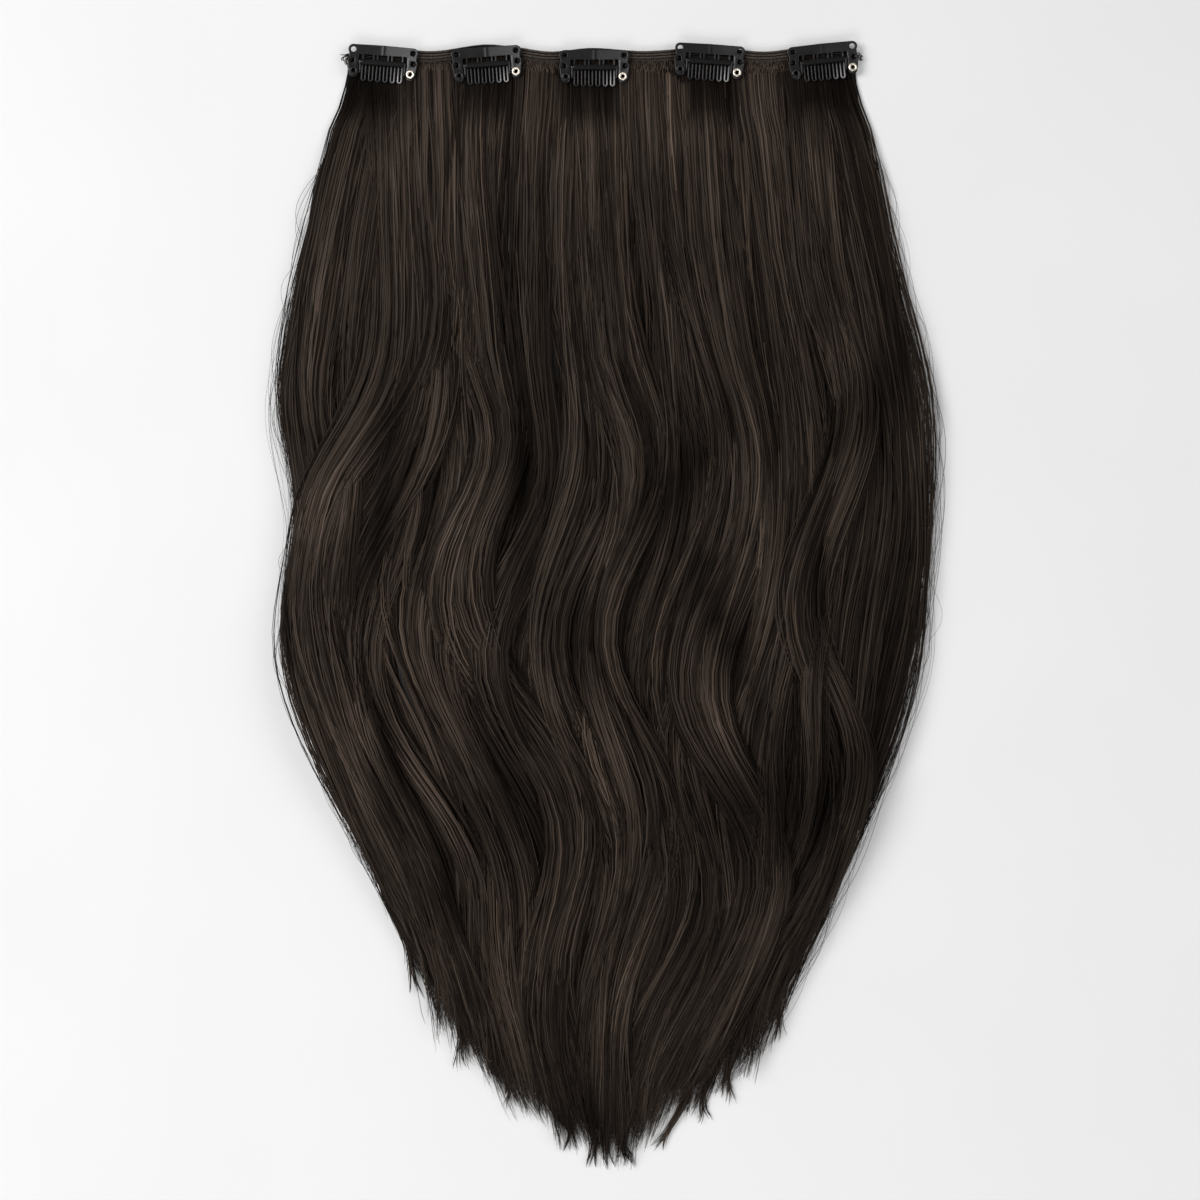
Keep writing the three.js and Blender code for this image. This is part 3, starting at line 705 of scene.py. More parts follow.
def core_mesh():
    u = np.linspace(-1, 1, CORE_ACROSS + 1)
    down = np.linspace(0, 0.91, CORE_DOWN + 1)
    points = []
    for d in down:
        left = -reach_at("left", d)
        right = reach_at("right", d)
        flare = (0.035 + 0.012 * smoothstep(d, 0.0, 0.04)) * (1 - smoothstep(d, 0.1, 0.24))
        trim = 0.965 + flare - 0.4 * smoothstep(d, 0.72, 0.91)
        x = (left + right) / 2 + u * (right - left) / 2 * trim
        back = np.sqrt(np.clip(1 - u**2, 0, 1)) ** 0.7
        z = rise_at(d) * 0.5 * back * (1 - 0.5 * smoothstep(d, 0.8, 0.96))
        root_y = band_line_at(np.clip(x, -BAND_WIDTH / 2, BAND_WIDTH / 2)) - BAND_HEIGHT - SEAM_GAP
        y = root_y + (-HAIR_DROP - BAND_HEIGHT - root_y) * d
        points.append(np.stack([MIDDLE_X + x, BAND_LINE_Y + y, np.maximum(z, 0.1 * MM)], axis=1))
    top = np.array(points)
    under = top.copy()
    under[:, :, 2] = 0.02 * MM
    columns = CORE_ACROSS + 1
    rows = CORE_DOWN + 1
    grid = np.arange(rows * columns).reshape(rows, columns)
    quads = np.stack([grid[1:, :-1], grid[1:, 1:], grid[:-1, 1:], grid[:-1, :-1]], axis=-1).reshape(-1, 4)
    quads_under = quads[:, ::-1] + rows * columns
    rim = np.concatenate([grid[0, :-1], grid[:-1, -1], grid[-1, :0:-1], grid[:0:-1, 0]])
    ahead = np.roll(rim, -1)
    wall = np.stack([rim, ahead, ahead + rows * columns, rim + rows * columns], axis=-1)
    mesh = bpy.data.meshes.new("hair_core")
    places = np.concatenate([top.reshape(-1, 3), under.reshape(-1, 3)])
    mesh.from_pydata(places.tolist(), [], np.concatenate([quads, quads_under, wall]).tolist())
    mesh.update()
    return mesh


hair_core = add_object("hair_core", core_mesh())
hair_core.data.shade_smooth()
core_finish = Finish("hair_in_shadow", Roughness=0.6)
core_streak = core_finish.noise(core_finish.stretched_place((900, 25, 1)), 1.0, 3.0)
# Painted shade: the core is coloured darker than the strands' own brown.
core_colour = core_finish.ramp(core_streak, [(0.35, (0.003, 0.0024, 0.002)), (0.7, (0.010, 0.0075, 0.006))])
core_finish.wear(Base_Color=core_colour)
hair_core.data.materials.append(core_finish.material)
print("core has", len(hair_core.data.polygons), "faces")

# %% [markdown]
# ## Strands
# The strands come in layers: a flat back layer over the core, locks side by side, upper locks over their
# seams, and long locks that cross the others. They swing with the CAD part's waves, but they are finer and
# more of them. Tufts at the lower edge break the outline there.

# %% Three layers of locks
def layer(count, half_width, low, high, level, jitter, edge=0.97):
    """Guides of one layer, from the left edge to the right edge."""
    guides = []
    for across in np.linspace(-edge, edge, count):
        shift = 0.6 / count * jitter * pick.uniform(-1, 1)
        step = pick.uniform(-0.5, 0.5) * 0.12 * jitter
        wide = half_width * pick.uniform(0.75, 1.3)
        guides.append(lock_guide(across + shift, wide, low + step, high + step, level, jitter))
    return guides


# The number after the two heights is each layer's painted light: the back layer gets the most painted shade.
back_guides = layer(22, 10 * MM, 0.1, 0.5, 0.0, 0.4)
middle_guides = layer(22, 10.5 * MM, 0.2, 0.85, 0.6, 0.9, 0.985)
top_guides = layer(15, 9.5 * MM, 0.4, 1.0, 0.9, 1.2, 0.9)
half = len(middle_guides) // 2

# %% Locks that cross over the others
# half width in pixels, then places on the photograph down each lock
CROSSING = [
    (26, [
        (395, 64), (405, 200), (408, 330), (398, 400), (350, 465), (312, 520), (300, 590), (306, 650),
        (330, 730), (365, 810), (405, 880), (436, 950),
    ]),
    (20, [
        (425, 64), (430, 250), (428, 420), (395, 500), (350, 560), (335, 620), (345, 700), (378, 780),
        (420, 860), (452, 950), (480, 1030),
    ]),
    (22, [
        (470, 64), (462, 250), (480, 360), (512, 440), (500, 485), (468, 535), (456, 585), (462, 640),
        (500, 700), (548, 750), (572, 805), (578, 850), (560, 905), (545, 960), (552, 1040), (585, 1115),
    ]),
    (20, [
        (600, 64), (606, 250), (612, 360), (645, 430), (642, 500), (622, 555), (596, 600), (590, 645),
        (608, 705), (640, 760), (656, 812), (650, 870), (628, 925), (610, 985), (607, 1060), (608, 1140),
    ]),
    (24, [
        (690, 64), (700, 250), (722, 360), (745, 440), (742, 520), (722, 585), (698, 640), (690, 690),
        (706, 745), (742, 795), (768, 845), (764, 900), (738, 960), (708, 1025), (668, 1095),
    ]),
    (20, [
        (800, 64), (812, 250), (845, 350), (852, 430), (832, 495), (806, 560), (798, 610), (816, 665),
        (846, 720), (858, 780), (846, 840), (820, 900), (782, 960),
    ]),
]


# tufts that leave the lower edge: half width in pixels, then places on the photograph
TUFTS = [
    (6, [(372, 850), (390, 905), (408, 950), (405, 1000)]),
    (5, [(395, 890), (415, 940), (432, 972), (439, 990)]),
    (7, [(425, 930), (448, 990), (462, 1030), (452, 1072)]),
    (5, [(478, 1010), (498, 1060), (511, 1088), (508, 1112)]),
    (5, [(530, 1070), (556, 1112), (570, 1132), (569, 1152)]),
    (7, [(566, 1060), (584, 1110), (592, 1142), (586, 1168)]),
    (9, [(600, 1050), (604, 1105), (606, 1145), (606, 1174)]),
    (6, [(640, 1060), (628, 1110), (622, 1142), (634, 1168)]),
    (6, [(700, 1060), (682, 1102), (667, 1130), (655, 1152)]),
    (5, [(728, 1030), (711, 1078), (701, 1102), (706, 1124)]),
    (5, [(756, 1000), (739, 1048), (727, 1078), (732, 1106)]),
    (6, [(806, 925), (790, 968), (779, 1005), (779, 1045)]),
]


def placed_lock(half_width, places, low, high, starts_at_root, slack=0.0):
    """A guide through places on the photograph."""
    root_y = CROSSING[0][1][0][1]
    tip_y = PHOTO_BAND_Y + (HAIR_DROP + BAND_HEIGHT) / PHOTO_PIXEL
    rows = np.array([((y - root_y) / (tip_y - root_y), (x - PHOTO_BAND_X) * PHOTO_PIXEL) for x, y in places])
    across = np.clip(rows[0, 1] / (BAND_WIDTH / 2), -1, 1)
    starts = 0.0 if starts_at_root else rows[0, 0]
    ends = min(1.0, rows[-1, 0])
    return lock_guide(across, half_width * PHOTO_PIXEL, low, high, 1.0, 0.4, rows, starts, ends, slack)


crossing_guides = []
for half_width, places in CROSSING:
    for side in (-0.5, 0.5):
        moved = [(x + side * half_width, y) for x, y in places]
        crossing_guides.append(placed_lock(half_width, moved, 0.62, 1.18, True))
tuft_guides = [placed_lock(half_width, places, 0.05, 0.4, False, 12 * MM) for half_width, places in TUFTS]
print(len(back_guides + middle_guides + top_guides + crossing_guides), "locks")

# %% Comb the layers
def combed(name, guides, strands, seed):
    mesh = guide_mesh(name + "_guides", guides)
    return grow(name, mesh, comb_tree, Strands=strands, Seed=seed, Hair=hair.material)


tuft_tip = {"Strands": 34, "Wisp_width": 0.9 * MM, "Wander": 2 * MM, "Tip_splay": 4 * MM, "Shortest": 0.7}
tuft_tip["Hair"] = hair.material
strand_pieces = [
    grow("hair_tufts", guide_mesh("tuft_guides", tuft_guides), comb_tree, Seed=141, **tuft_tip),
    combed("hair_back", back_guides, 44, 1),
    combed("hair_left", middle_guides[:half], 180, 21),
    combed("hair_right", middle_guides[half:], 180, 41),
    combed("hair_top", top_guides, 152, 61),
    combed("hair_crossing", crossing_guides, 180, 81),
]

# %% [markdown]
# ## Stray hairs
# Fine single hairs stand off both edges and lie across the fall. They soften the outline and show that the
# mass is made of hairs. They use the same comb, with one hair-thin strand on each guide.

# %% Stray hairs
def stray_guide(side, start, length, stand_off, lift):
    """One hair that leaves the edge of the fall on one side and comes back to it."""
    down = start + np.linspace(0, 1, GUIDE_POINTS) * length
    share = np.linspace(0, 1, GUIDE_POINTS)
    reach = reach_at("left" if side < 0 else "right", np.clip(down, 0, 1))
    bulge = np.sin(math.pi * share ** pick.uniform(0.7, 1.6)) * stand_off
    curl = pick.uniform(0.5, 1.5) * MM * np.sin(share * pick.uniform(6, 12) + pick.uniform(0, 6))
    x = side * (reach - 6 * MM + bulge) + curl
    rise = rise_at(np.clip(down, 0, 1))
    blank = np.zeros(GUIDE_POINTS)
    return {
        "x": MIDDLE_X + x,
        "y": BAND_LINE_Y - BAND_HEIGHT - HAIR_DROP * np.clip(down, 0, 1),
        "z": 0.6 * MM + rise * lift * (0.4 + 0.6 * np.sin(math.pi * share)),
        "half_width": blank, "half_rise": blank, "roll": blank, "down": down,
        "level": blank + 1, "lock_tone": blank + 0.5,
    }


def loose_guide(lock):
    """One hair that lies on the back of a lock for part of its way."""
    first = pick.uniform(0, 0.75)
    last = min(0.99, first + pick.uniform(0.15, 0.45))
    at = np.linspace(first, last, GUIDE_POINTS) * (GUIDE_POINTS - 1)
    row = np.arange(GUIDE_POINTS)
    value = {key: np.interp(at, row, lock[key]) for key in lock}
    aside = pick.uniform(-0.9, 0.9) + pick.uniform(-0.35, 0.35) * np.linspace(-1, 1, GUIDE_POINTS)
    aside = np.clip(aside, -0.97, 0.97)
    blank = np.zeros(GUIDE_POINTS)
    return {
        "x": value["x"] + aside * value["half_width"],
        "y": value["y"],
        "z": value["z"] + value["half_rise"] * np.sqrt(1 - aside**2) + 0.5 * MM,
        "half_width": blank, "half_rise": blank, "roll": blank, "down": value["down"],
        # Painted light: full in the open, painted shade near the roots under a clip.
        "level": value["level"] * 0 + 1 - 1.2 * near_clip(value["x"] - MIDDLE_X) * (value["down"] < 0.05),
        "lock_tone": blank + pick.uniform(0, 1),
    }


def band_end_guide(side):
    """A bunch of short hairs that escapes from the band's cut end."""
    share = np.linspace(0, 1, GUIDE_POINTS)
    blank = np.zeros(GUIDE_POINTS)
    reach = pick.uniform(2.5, 5) * MM
    return {
        "x": MIDDLE_X + side * (BAND_WIDTH / 2 - 2 * MM + reach * np.sin(share * 2.2)),
        "y": BAND_LINE_Y - pick.uniform(1.5, 4.5) * MM - share**2 * pick.uniform(-1, 4) * MM,
        "z": 1.2 * MM + 0.8 * MM * np.sin(share * 3),
        "half_width": blank + 0.7 * MM, "half_rise": blank + 0.4 * MM, "roll": blank, "down": blank + 0.1,
        "level": blank + 0.6, "lock_tone": blank + 0.4,
    }


stray_guides = []
for side in (-1, 1):
    for _ in range(110):
        start = pick.uniform(0.0, 0.8)
        length = min(pick.uniform(0.06, 0.38), 0.93 - start)
        stand_off = pick.uniform(3, 7.5) ** 1.25 * MM
        stray_guides.append(stray_guide(side, start, length, stand_off, pick.uniform(0.1, 0.6)))
fall_locks = middle_guides + top_guides + top_guides + crossing_guides
surface_guides = [loose_guide(fall_locks[pick.integers(len(fall_locks))]) for _ in range(700)]
thin = {"Strands": 1, "Wander": 0.8 * MM, "Tip_splay": 0.0, "Shortest": 1.0, "Hair": hair.material}
end_guides = [band_end_guide(side) for side in (-1, 1) for _ in range(5)]
end_hairs = {"Strands": 9, "Wisp_width": 0.5 * MM, "Wander": 0.5 * MM, "Tip_splay": 1 * MM}
end_hairs["Hair"] = hair.material


def fine_hairs(name, guides, half_width, seed, settings):
    mesh = guide_mesh(name + "_guides", guides)
    return grow(name, mesh, comb_tree, Ribbon_half_width=half_width, Seed=seed, **settings)


strays = [
    fine_hairs("hair_ends", end_guides, 0.13 * MM, 161, end_hairs),
    fine_hairs("hair_strays", stray_guides, 0.085 * MM, 101, thin),
    fine_hairs("hair_loose", surface_guides, 0.15 * MM, 121, thin),
]

# %% Painted light and shade of the waves
# where the waves' crests shine, as painted light, and where locks part, as painted shade, both put into the
# strands'
# colour: middle on the photograph, half width, half length, lean to the right for each pixel down, and change
WAVE_LIGHT = [
    (335, 508, 30, 48, -0.5, 0.9), (363, 690, 15, 95, 0.0, 0.8), (425, 765, 17, 80, 0.25, 0.7),
    (472, 640, 24, 100, 0.0, 0.4), (450, 480, 24, 70, 0.0, 0.35), (552, 685, 20, 50, 0.6, 0.5),
    (608, 790, 19, 70, 0.05, 0.7), (590, 905, 18, 70, -0.35, 0.6), (770, 625, 26, 60, 0.1, 0.5),
    (725, 718, 24, 42, 0.2, 0.8), (600, 560, 13, 34, 0.0, 0.6), (622, 985, 16, 60, -0.2, 0.5),
    (750, 500, 15, 75, 0.1, 0.4), (868, 520, 22, 55, -0.2, 0.35), (772, 915, 20, 50, -0.5, 0.4),
    (500, 1010, 18, 60, 0.3, 0.3), (645, 1085, 12, 40, -0.4, 0.4), (310, 330, 26, 90, 0.0, 0.35),
    (392, 440, 22, 90, -0.2, -0.65), (378, 540, 20, 60, -0.2, -0.5), (524, 470, 16, 95, 0.0, -0.7),
    (680, 480, 26, 70, -0.6, -0.6), (872, 400, 34, 80, -0.4, -0.5), (722, 630, 18, 75, 0.4, -0.65),
    (516, 800, 44, 75, 0.3, -0.5), (815, 790, 60, 75, 0.0, -0.22), (745, 800, 50, 60, 0.0, -0.5),
    (575, 645, 22, 55, 0.1, -0.5), (815, 600, 12, 100, 0.1, -0.5), (388, 730, 10, 80, 0.2, -0.5),
    (590, 1115, 24, 42, 0.3, -0.5),
    (460, 900, 24, 60, 0.5, -0.3), (700, 930, 24, 70, -0.2, -0.35),
    (890, 620, 42, 200, 0.0, -0.3), (850, 780, 46, 110, -0.4, -0.35), (600, 118, 240, 50, 0.0, 0.65),
    (482, 122, 14, 42, 0.0, 0.4), (545, 150, 16, 50, 0.0, 0.3), (668, 130, 16, 50, 0.0, 0.4),
    (372, 95, 26, 40, 0.0, -0.4), (812, 95, 26, 40, 0.0, -0.4), (578, 90, 24, 30, 0.0, -0.3),
]
PAINTED_WAVE_STRENGTH = 1.2


def wave_light(piece):
    places = point_places(piece.data)
    x = PHOTO_BAND_X + (places[:, 0] - MIDDLE_X) / PHOTO_PIXEL
    y = PHOTO_BAND_Y + (BAND_LINE_Y - places[:, 1]) / PHOTO_PIXEL
    light = np.zeros(len(x))
    for middle_x, middle_y, half_width, half_length, lean, change in WAVE_LIGHT:
        aside = (x - middle_x - lean * (y - middle_y)) / half_width
        light += change * np.exp(-(aside**2) - ((y - middle_y) / half_length) ** 2)
    return light * PAINTED_WAVE_STRENGTH


for piece in strand_pieces + strays:
    give(piece.data, "wave_light", wave_light(piece))
for piece in strand_pieces + strays + [hair_core]:
    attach(piece, "weft")
    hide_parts("hair")

# %% [markdown]
# ## The sewn band
# A weft is hair folded over a thread and sewn across by machine. Three twisted cords run along it, below
# them runs a row of slanted lock stitches, and the folded hair shows as two rows of looped roots. The body is
# one swept section. Cords, stitches and roots repeat along it, so Geometry Nodes lay them.

# %% Band body
BAND_STEPS = 232
BAND_SECTION = [
    # from the top edge, height, in mm
    (-6.0, 0.0), (0.0, 0.0), (0.0, 0.9), (-0.15, 1.4), (-0.6, 1.55), (-1.25, 1.2), (-1.9, 1.55), (-2.55, 1.2),
    (-3.2, 1.55), (-3.8, 1.3), (-4.4, 1.7), (-5.0, 1.7), (-5.7, 1.5), (-6.0, 1.1),
]


def band_points(drop, height, steps=BAND_STEPS, inset=0.0):
    """Places along the band's line, lowered by a drop."""
    x = np.linspace(-1, 1, steps + 1) * (BAND_WIDTH / 2 - inset)
    y = band_line_at(x) - drop
    return np.stack([MIDDLE_X + x, BAND_LINE_Y + y, np.full_like(x, height)], axis=1)


def swept_band():
    rows = np.stack([band_points(-drop * MM, height * MM) for drop, height in BAND_SECTION], axis=1)
    stations, ring = rows.shape[:2]
    index = np.arange(stations * ring).reshape(stations, ring)
    faces = []
    for k in range(ring):
        a, b = index[:-1, k], index[1:, k]
        c, d = index[1:, (k + 1) % ring], index[:-1, (k + 1) % ring]
        faces += [tuple(int(v) for v in quad) for quad in zip(a, b, c, d)]
    faces += [tuple(int(v) for v in index[0]), tuple(int(v) for v in index[-1][::-1])]
    mesh = bpy.data.meshes.new("band_body")
    mesh.from_pydata(rows.reshape(-1, 3).tolist(), [], faces)
    return mesh


def tidy_normals(mesh, sharp_degrees=40):
    """Closes seams, turns every face outwards and shades smooth up to an angle."""
    work = bmesh.new()
    work.from_mesh(mesh)
    bmesh.ops.remove_doubles(work, verts=work.verts, dist=1e-6)
    bmesh.ops.recalc_face_normals(work, faces=work.faces)
    work.to_mesh(mesh)
    work.free()
    mesh.shade_smooth()
    mesh.set_sharp_from_angle(angle=math.radians(sharp_degrees))
    return mesh


band_body = add_object("band_body", tidy_normals(swept_band()))
print("band body has", len(band_body.data.polygons), "faces")

# %% Band finishes
PAINTED_SHADE = (0, 0, 0, 1)

cloth = Finish("folded_hair_and_thread", Roughness=0.62, Specular_IOR_Level=0.25)
cloth_rib = cloth.noise(cloth.stretched_place((2600, 260, 260)), 1.0, 2.0)
cloth_patch = cloth.noise(cloth.place(), 90.0)
cloth_shade = cloth.plus(cloth.times(cloth_rib, 0.75), cloth.times(cloth_patch, 0.3))
cloth_colour = cloth.ramp(cloth_shade, [(0.3, (0.004, 0.003, 0.0025)), (0.8, (0.022, 0.0165, 0.0135))])
# Painted shade: under each clip the cloth is mixed towards black by its open value.
cloth.wear(Base_Color=cloth.mix(PAINTED_SHADE, cloth_colour, cloth.attribute("open")))
cloth.bump(cloth_rib, 0.3 * MM, 0.8)
band_body.data.materials.append(cloth.material)

thread = Finish("dark_cotton_thread", Roughness=0.55, Specular_IOR_Level=0.3)
thread_fibre = thread.noise(thread.stretched_place((1500, 1500, 1500)), 1.0, 2.0)
thread_colour = thread.ramp(thread_fibre, [(0.3, (0.016, 0.012, 0.0095)), (0.75, (0.10, 0.078, 0.062))])
# Painted shade: under each clip the thread is mixed towards black as well.
thread.wear(Base_Color=thread.mix(PAINTED_SHADE, thread_colour, thread.attribute("open")))
thread.bump(thread_fibre, 0.1 * MM, 0.6)


# %% A line for the band's trees to follow
def line_mesh(name, points):
    mesh = bpy.data.meshes.new(name)
    edges = [(i, i + 1) for i in range(len(points) - 1)]
    mesh.from_pydata([tuple(map(float, p)) for p in points], edges, [])
    return mesh


# %% Three twisted cords
def build_cord_tree():
    cord = Recipe("twisted_cord", {
        "Plies": ("NodeSocketInt", 3),
        "Ply radius": ("NodeSocketFloat", 0.3 * MM),
        "Twist radius": ("NodeSocketFloat", 0.29 * MM),
        "Pitch": ("NodeSocketFloat", 2.2 * MM),
        "Thread": ("NodeSocketMaterial", None),
    })
    given = cord.start
    curve = cord.first("GeometryNodeMeshToCurve", {"Mesh": given["Geometry"]})
    curve = cord.first("GeometryNodeResampleCurve", {"Curve": curve, "Length": 0.5 * MM}, mode="LENGTH")
    repeat = {"Geometry": curve, "Amount": given["Plies"]}
    copies = cord.node("GeometryNodeDuplicateElements", repeat, domain="SPLINE").outputs
    length = cord.node("GeometryNodeSplineParameter").outputs["Length"]
    marked = cord.store(copies[0], "place", length)
    share = cord.math("DIVIDE", copies["Duplicate Index"], given["Plies"])
    turns = cord.plus(cord.math("DIVIDE", cord.named("place"), given["Pitch"]), share)
    angle = cord.times(turns, 2 * math.pi)
    flat = cord.times(cord.math("COSINE", angle), given["Twist radius"])
    up = cord.times(cord.math("SINE", angle), given["Twist radius"])
    twisted = cord.first("GeometryNodeSetPosition", {"Geometry": marked, "Offset": cord.xyz(0.0, flat, up)})
    profile = cord.first("GeometryNodeCurvePrimitiveCircle", {"Resolution": 5, "Radius": given["Ply radius"]})
    sweep = {"Curve": twisted, "Profile Curve": profile, "Fill Caps": True}
    plies = cord.first("GeometryNodeCurveToMesh", sweep)
    return cord.finish(cord.without(plies, "place"), given["Thread"])


CORD_ROWS = [
    # how far below the band's top edge the cord runs, and the length of its twist, in mm
    (0.6, 2.4), (1.9, 1.8), (3.2, 2.1),
]

cord_tree = build_cord_tree()
band_cords = []
for number, (drop, pitch) in enumerate(CORD_ROWS, 1):
    cord_line = line_mesh("cord_line", band_points(drop * MM, 1.72 * MM, inset=0.6 * MM))
    settings = {"Thread": thread.material, "Pitch": pitch * MM}
    band_cords.append(grow(f"band_cord_{number}", cord_line, cord_tree, **settings))


# %% Lock stitches and looped roots
def build_stitch_tree():
    row = Recipe("row_of_stitches", {
        "Pitch": ("NodeSocketFloat", 1.15 * MM),
        "Stitch length": ("NodeSocketFloat", 1.3 * MM),
        "Arch": ("NodeSocketFloat", 0.2 * MM),
        "Turn": ("NodeSocketFloat", 0.0),
        "Turn variation": ("NodeSocketFloat", 0.15),
        "Thread radius": ("NodeSocketFloat", 0.24 * MM),
        "Seed": ("NodeSocketInt", 1),
        "Thread": ("NodeSocketMaterial", None),
    })
    given = row.start
    curve = row.first("GeometryNodeMeshToCurve", {"Mesh": given["Geometry"]})
    points = row.first("GeometryNodeCurveToPoints", {"Curve": curve, "Length": given["Pitch"]}, mode="LENGTH")

    # one stitch: an arch of thread, thickest in its middle
    half = row.times(given["Stitch length"], 0.5)
    low = row.times(given["Arch"], -1.0)
    arch = {
        "Resolution": 6,
        "Start": row.xyz(row.times(half, -1.0), 0.0, low),
        "Middle": row.xyz(0.0, 0.0, given["Arch"]),
        "End": row.xyz(half, 0.0, low),
    }
    stitch = row.first("GeometryNodeCurveQuadraticBezier", arch)
    round_profile = {"Resolution": 6, "Radius": given["Thread radius"]}
    profile = row.first("GeometryNodeCurvePrimitiveCircle", round_profile)
    middle = row.times(row.math("SINE", row.times(row.share_along(), math.pi)), 0.6)
    sweep = {"Curve": stitch, "Profile Curve": profile, "Scale": row.plus(middle, 0.45), "Fill Caps": True}
    body = row.first("GeometryNodeCurveToMesh", sweep)

    # repeat it along the line, each one turned and sized a little differently
    key = row.first("GeometryNodeInputIndex")
    less = row.times(given["Turn variation"], -1.0)
    turn = row.plus(given["Turn"], row.random(less, given["Turn variation"], key, given["Seed"]))
    grown = row.random(0.8, 1.15, key, row.plus(given["Seed"], 1))
    sockets = {"Points": points, "Instance": body, "Rotation": row.xyz(0.0, 0.0, turn), "Scale": grown}
    return row.finish(row.first("GeometryNodeInstanceOnPoints", sockets), given["Thread"])


stitch_tree = build_stitch_tree()
stitch_line = line_mesh("stitch_line", band_points(4.3 * MM, 1.85 * MM, inset=1 * MM))
band_stitches = grow("band_stitches", stitch_line, stitch_tree, Thread=thread.material, Turn=0.5, Seed=5)
ROOT_ROWS = [
    # drop, height and length in mm, then the seed
    (6.0, 1.75, 4.2, 9), (7.9, 2.3, 5.4, 12),
]
ROOT_STITCH = {
    "Thread": hair.material, "Pitch": 0.66 * MM, "Arch": 0.3 * MM, "Turn": math.pi / 2,
    "Turn_variation": 0.3, "Thread_radius": 0.22 * MM,
}
root_rows = []
for number, (drop, height, length, seed) in enumerate(ROOT_ROWS, 1):
    root_line = line_mesh("root_line", band_points(drop * MM, height * MM, inset=1.5 * MM))
    settings = {"Stitch_length": length * MM, "Seed": seed, **ROOT_STITCH}
    root_rows.append(grow(f"band_roots_{number}", root_line, stitch_tree, **settings))


def open_to_light(piece):
    """How open a point is to light, for the painted shade under clips: 1 in the open and close to 0 under a
    clip, for each point.
    """
    return 1 - 0.85 * near_clip(point_places(piece.data)[:, 0] - MIDDLE_X)


draw = np.random.default_rng(3)
for piece in root_rows:
    threads = len(piece.data.vertices)
    give(piece.data, "tone", np.repeat(draw.uniform(0.35, 1.2, threads // 6 + 1), 6)[:threads])
    give(piece.data, "lock_tone", np.full(threads, 0.5))
    give(piece.data, "height", np.full(threads, 0.85))
    # Painted shade on the looped roots under each clip.
    give(piece.data, "level", 1.3 * open_to_light(piece) - 0.45)
    give(piece.data, "wave_light", np.zeros(threads))
for piece in (band_body, *band_cords, band_stitches):
    give(piece.data, "open", open_to_light(piece))
for piece in (band_body, *band_cords, band_stitches, *root_rows):
    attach(piece, "weft")
    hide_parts("weft_band")

# %% [markdown]
# ## Snap clips
# Each clip is a stamped steel comb with two arms. Its spring bar is riveted under the arms and carries a
# rubber sleeve that grips the wearer's own hair. The CAD part gives the outlines. Here they get round
# corners, a rolled edge and a smooth bow, because a glossy black part shows its shape only by reflections.

# %% Clip sizes, in millimetres as in the CAD source
CLIP_WIDTH = 32
CLIP_HEIGHT = 16.5
PLATE_GAUGE = 0.5
PLATE_BOW = 1.2
PLATE_CROWN = 0.4
SPINE_HEIGHT = 4.3
LUG_RADIUS = 2.4
SIDE_LUG_RADIUS = 2
SEW_HOLE_RADIUS = 1.2
TOOTH_PAIRS = 3
TOOTH_WIDTH = 2.3
TOOTH_PITCH = 3.3
WIRE = 0.69
BRIDGE_DROP = 8
BRIDGE_HEIGHT = 1
EYELET_X = 13
EYELET_DROP = 12
EYELET_HOLE = 1.3
TAB_RADIUS = 2
TAB_LOBE = 0.9
TAB_MIDDLE = -0.7
BAR_REACH = 10.7
BAR_WIDTH = 1
BAR_GAUGE = 0.5
SLEEVE_REACH = 9.4
PLATE_MIDDLE = 2.95
HINGE_Z = 2.798
SLEEVE_Z = 4.764
EDGE_ROUND = 0.24
CREASE_WIDTH = 0.3
CREASE_HEIGHT = 0.1


def bow_at(x):
    """Rise of the plate's middle plane: two halves that meet in a soft crease."""
    share = abs(x) / (CLIP_WIDTH / 2)
    crease = CREASE_HEIGHT * np.maximum(0, 1 - abs(x) / CREASE_WIDTH)
    return PLATE_BOW * (0.7 * share + 0.3 * share**2) - 0.12 + crease


def arc(x, y, radius, start, end, steps):
    angles = np.radians(np.linspace(start, end, steps + 1))
    return [(x + radius * math.cos(a), y + radius * math.sin(a)) for a in angles]


def hole(x, y, radius, steps=24):
    return arc(x, y, radius, 0, 360, steps)[1:]


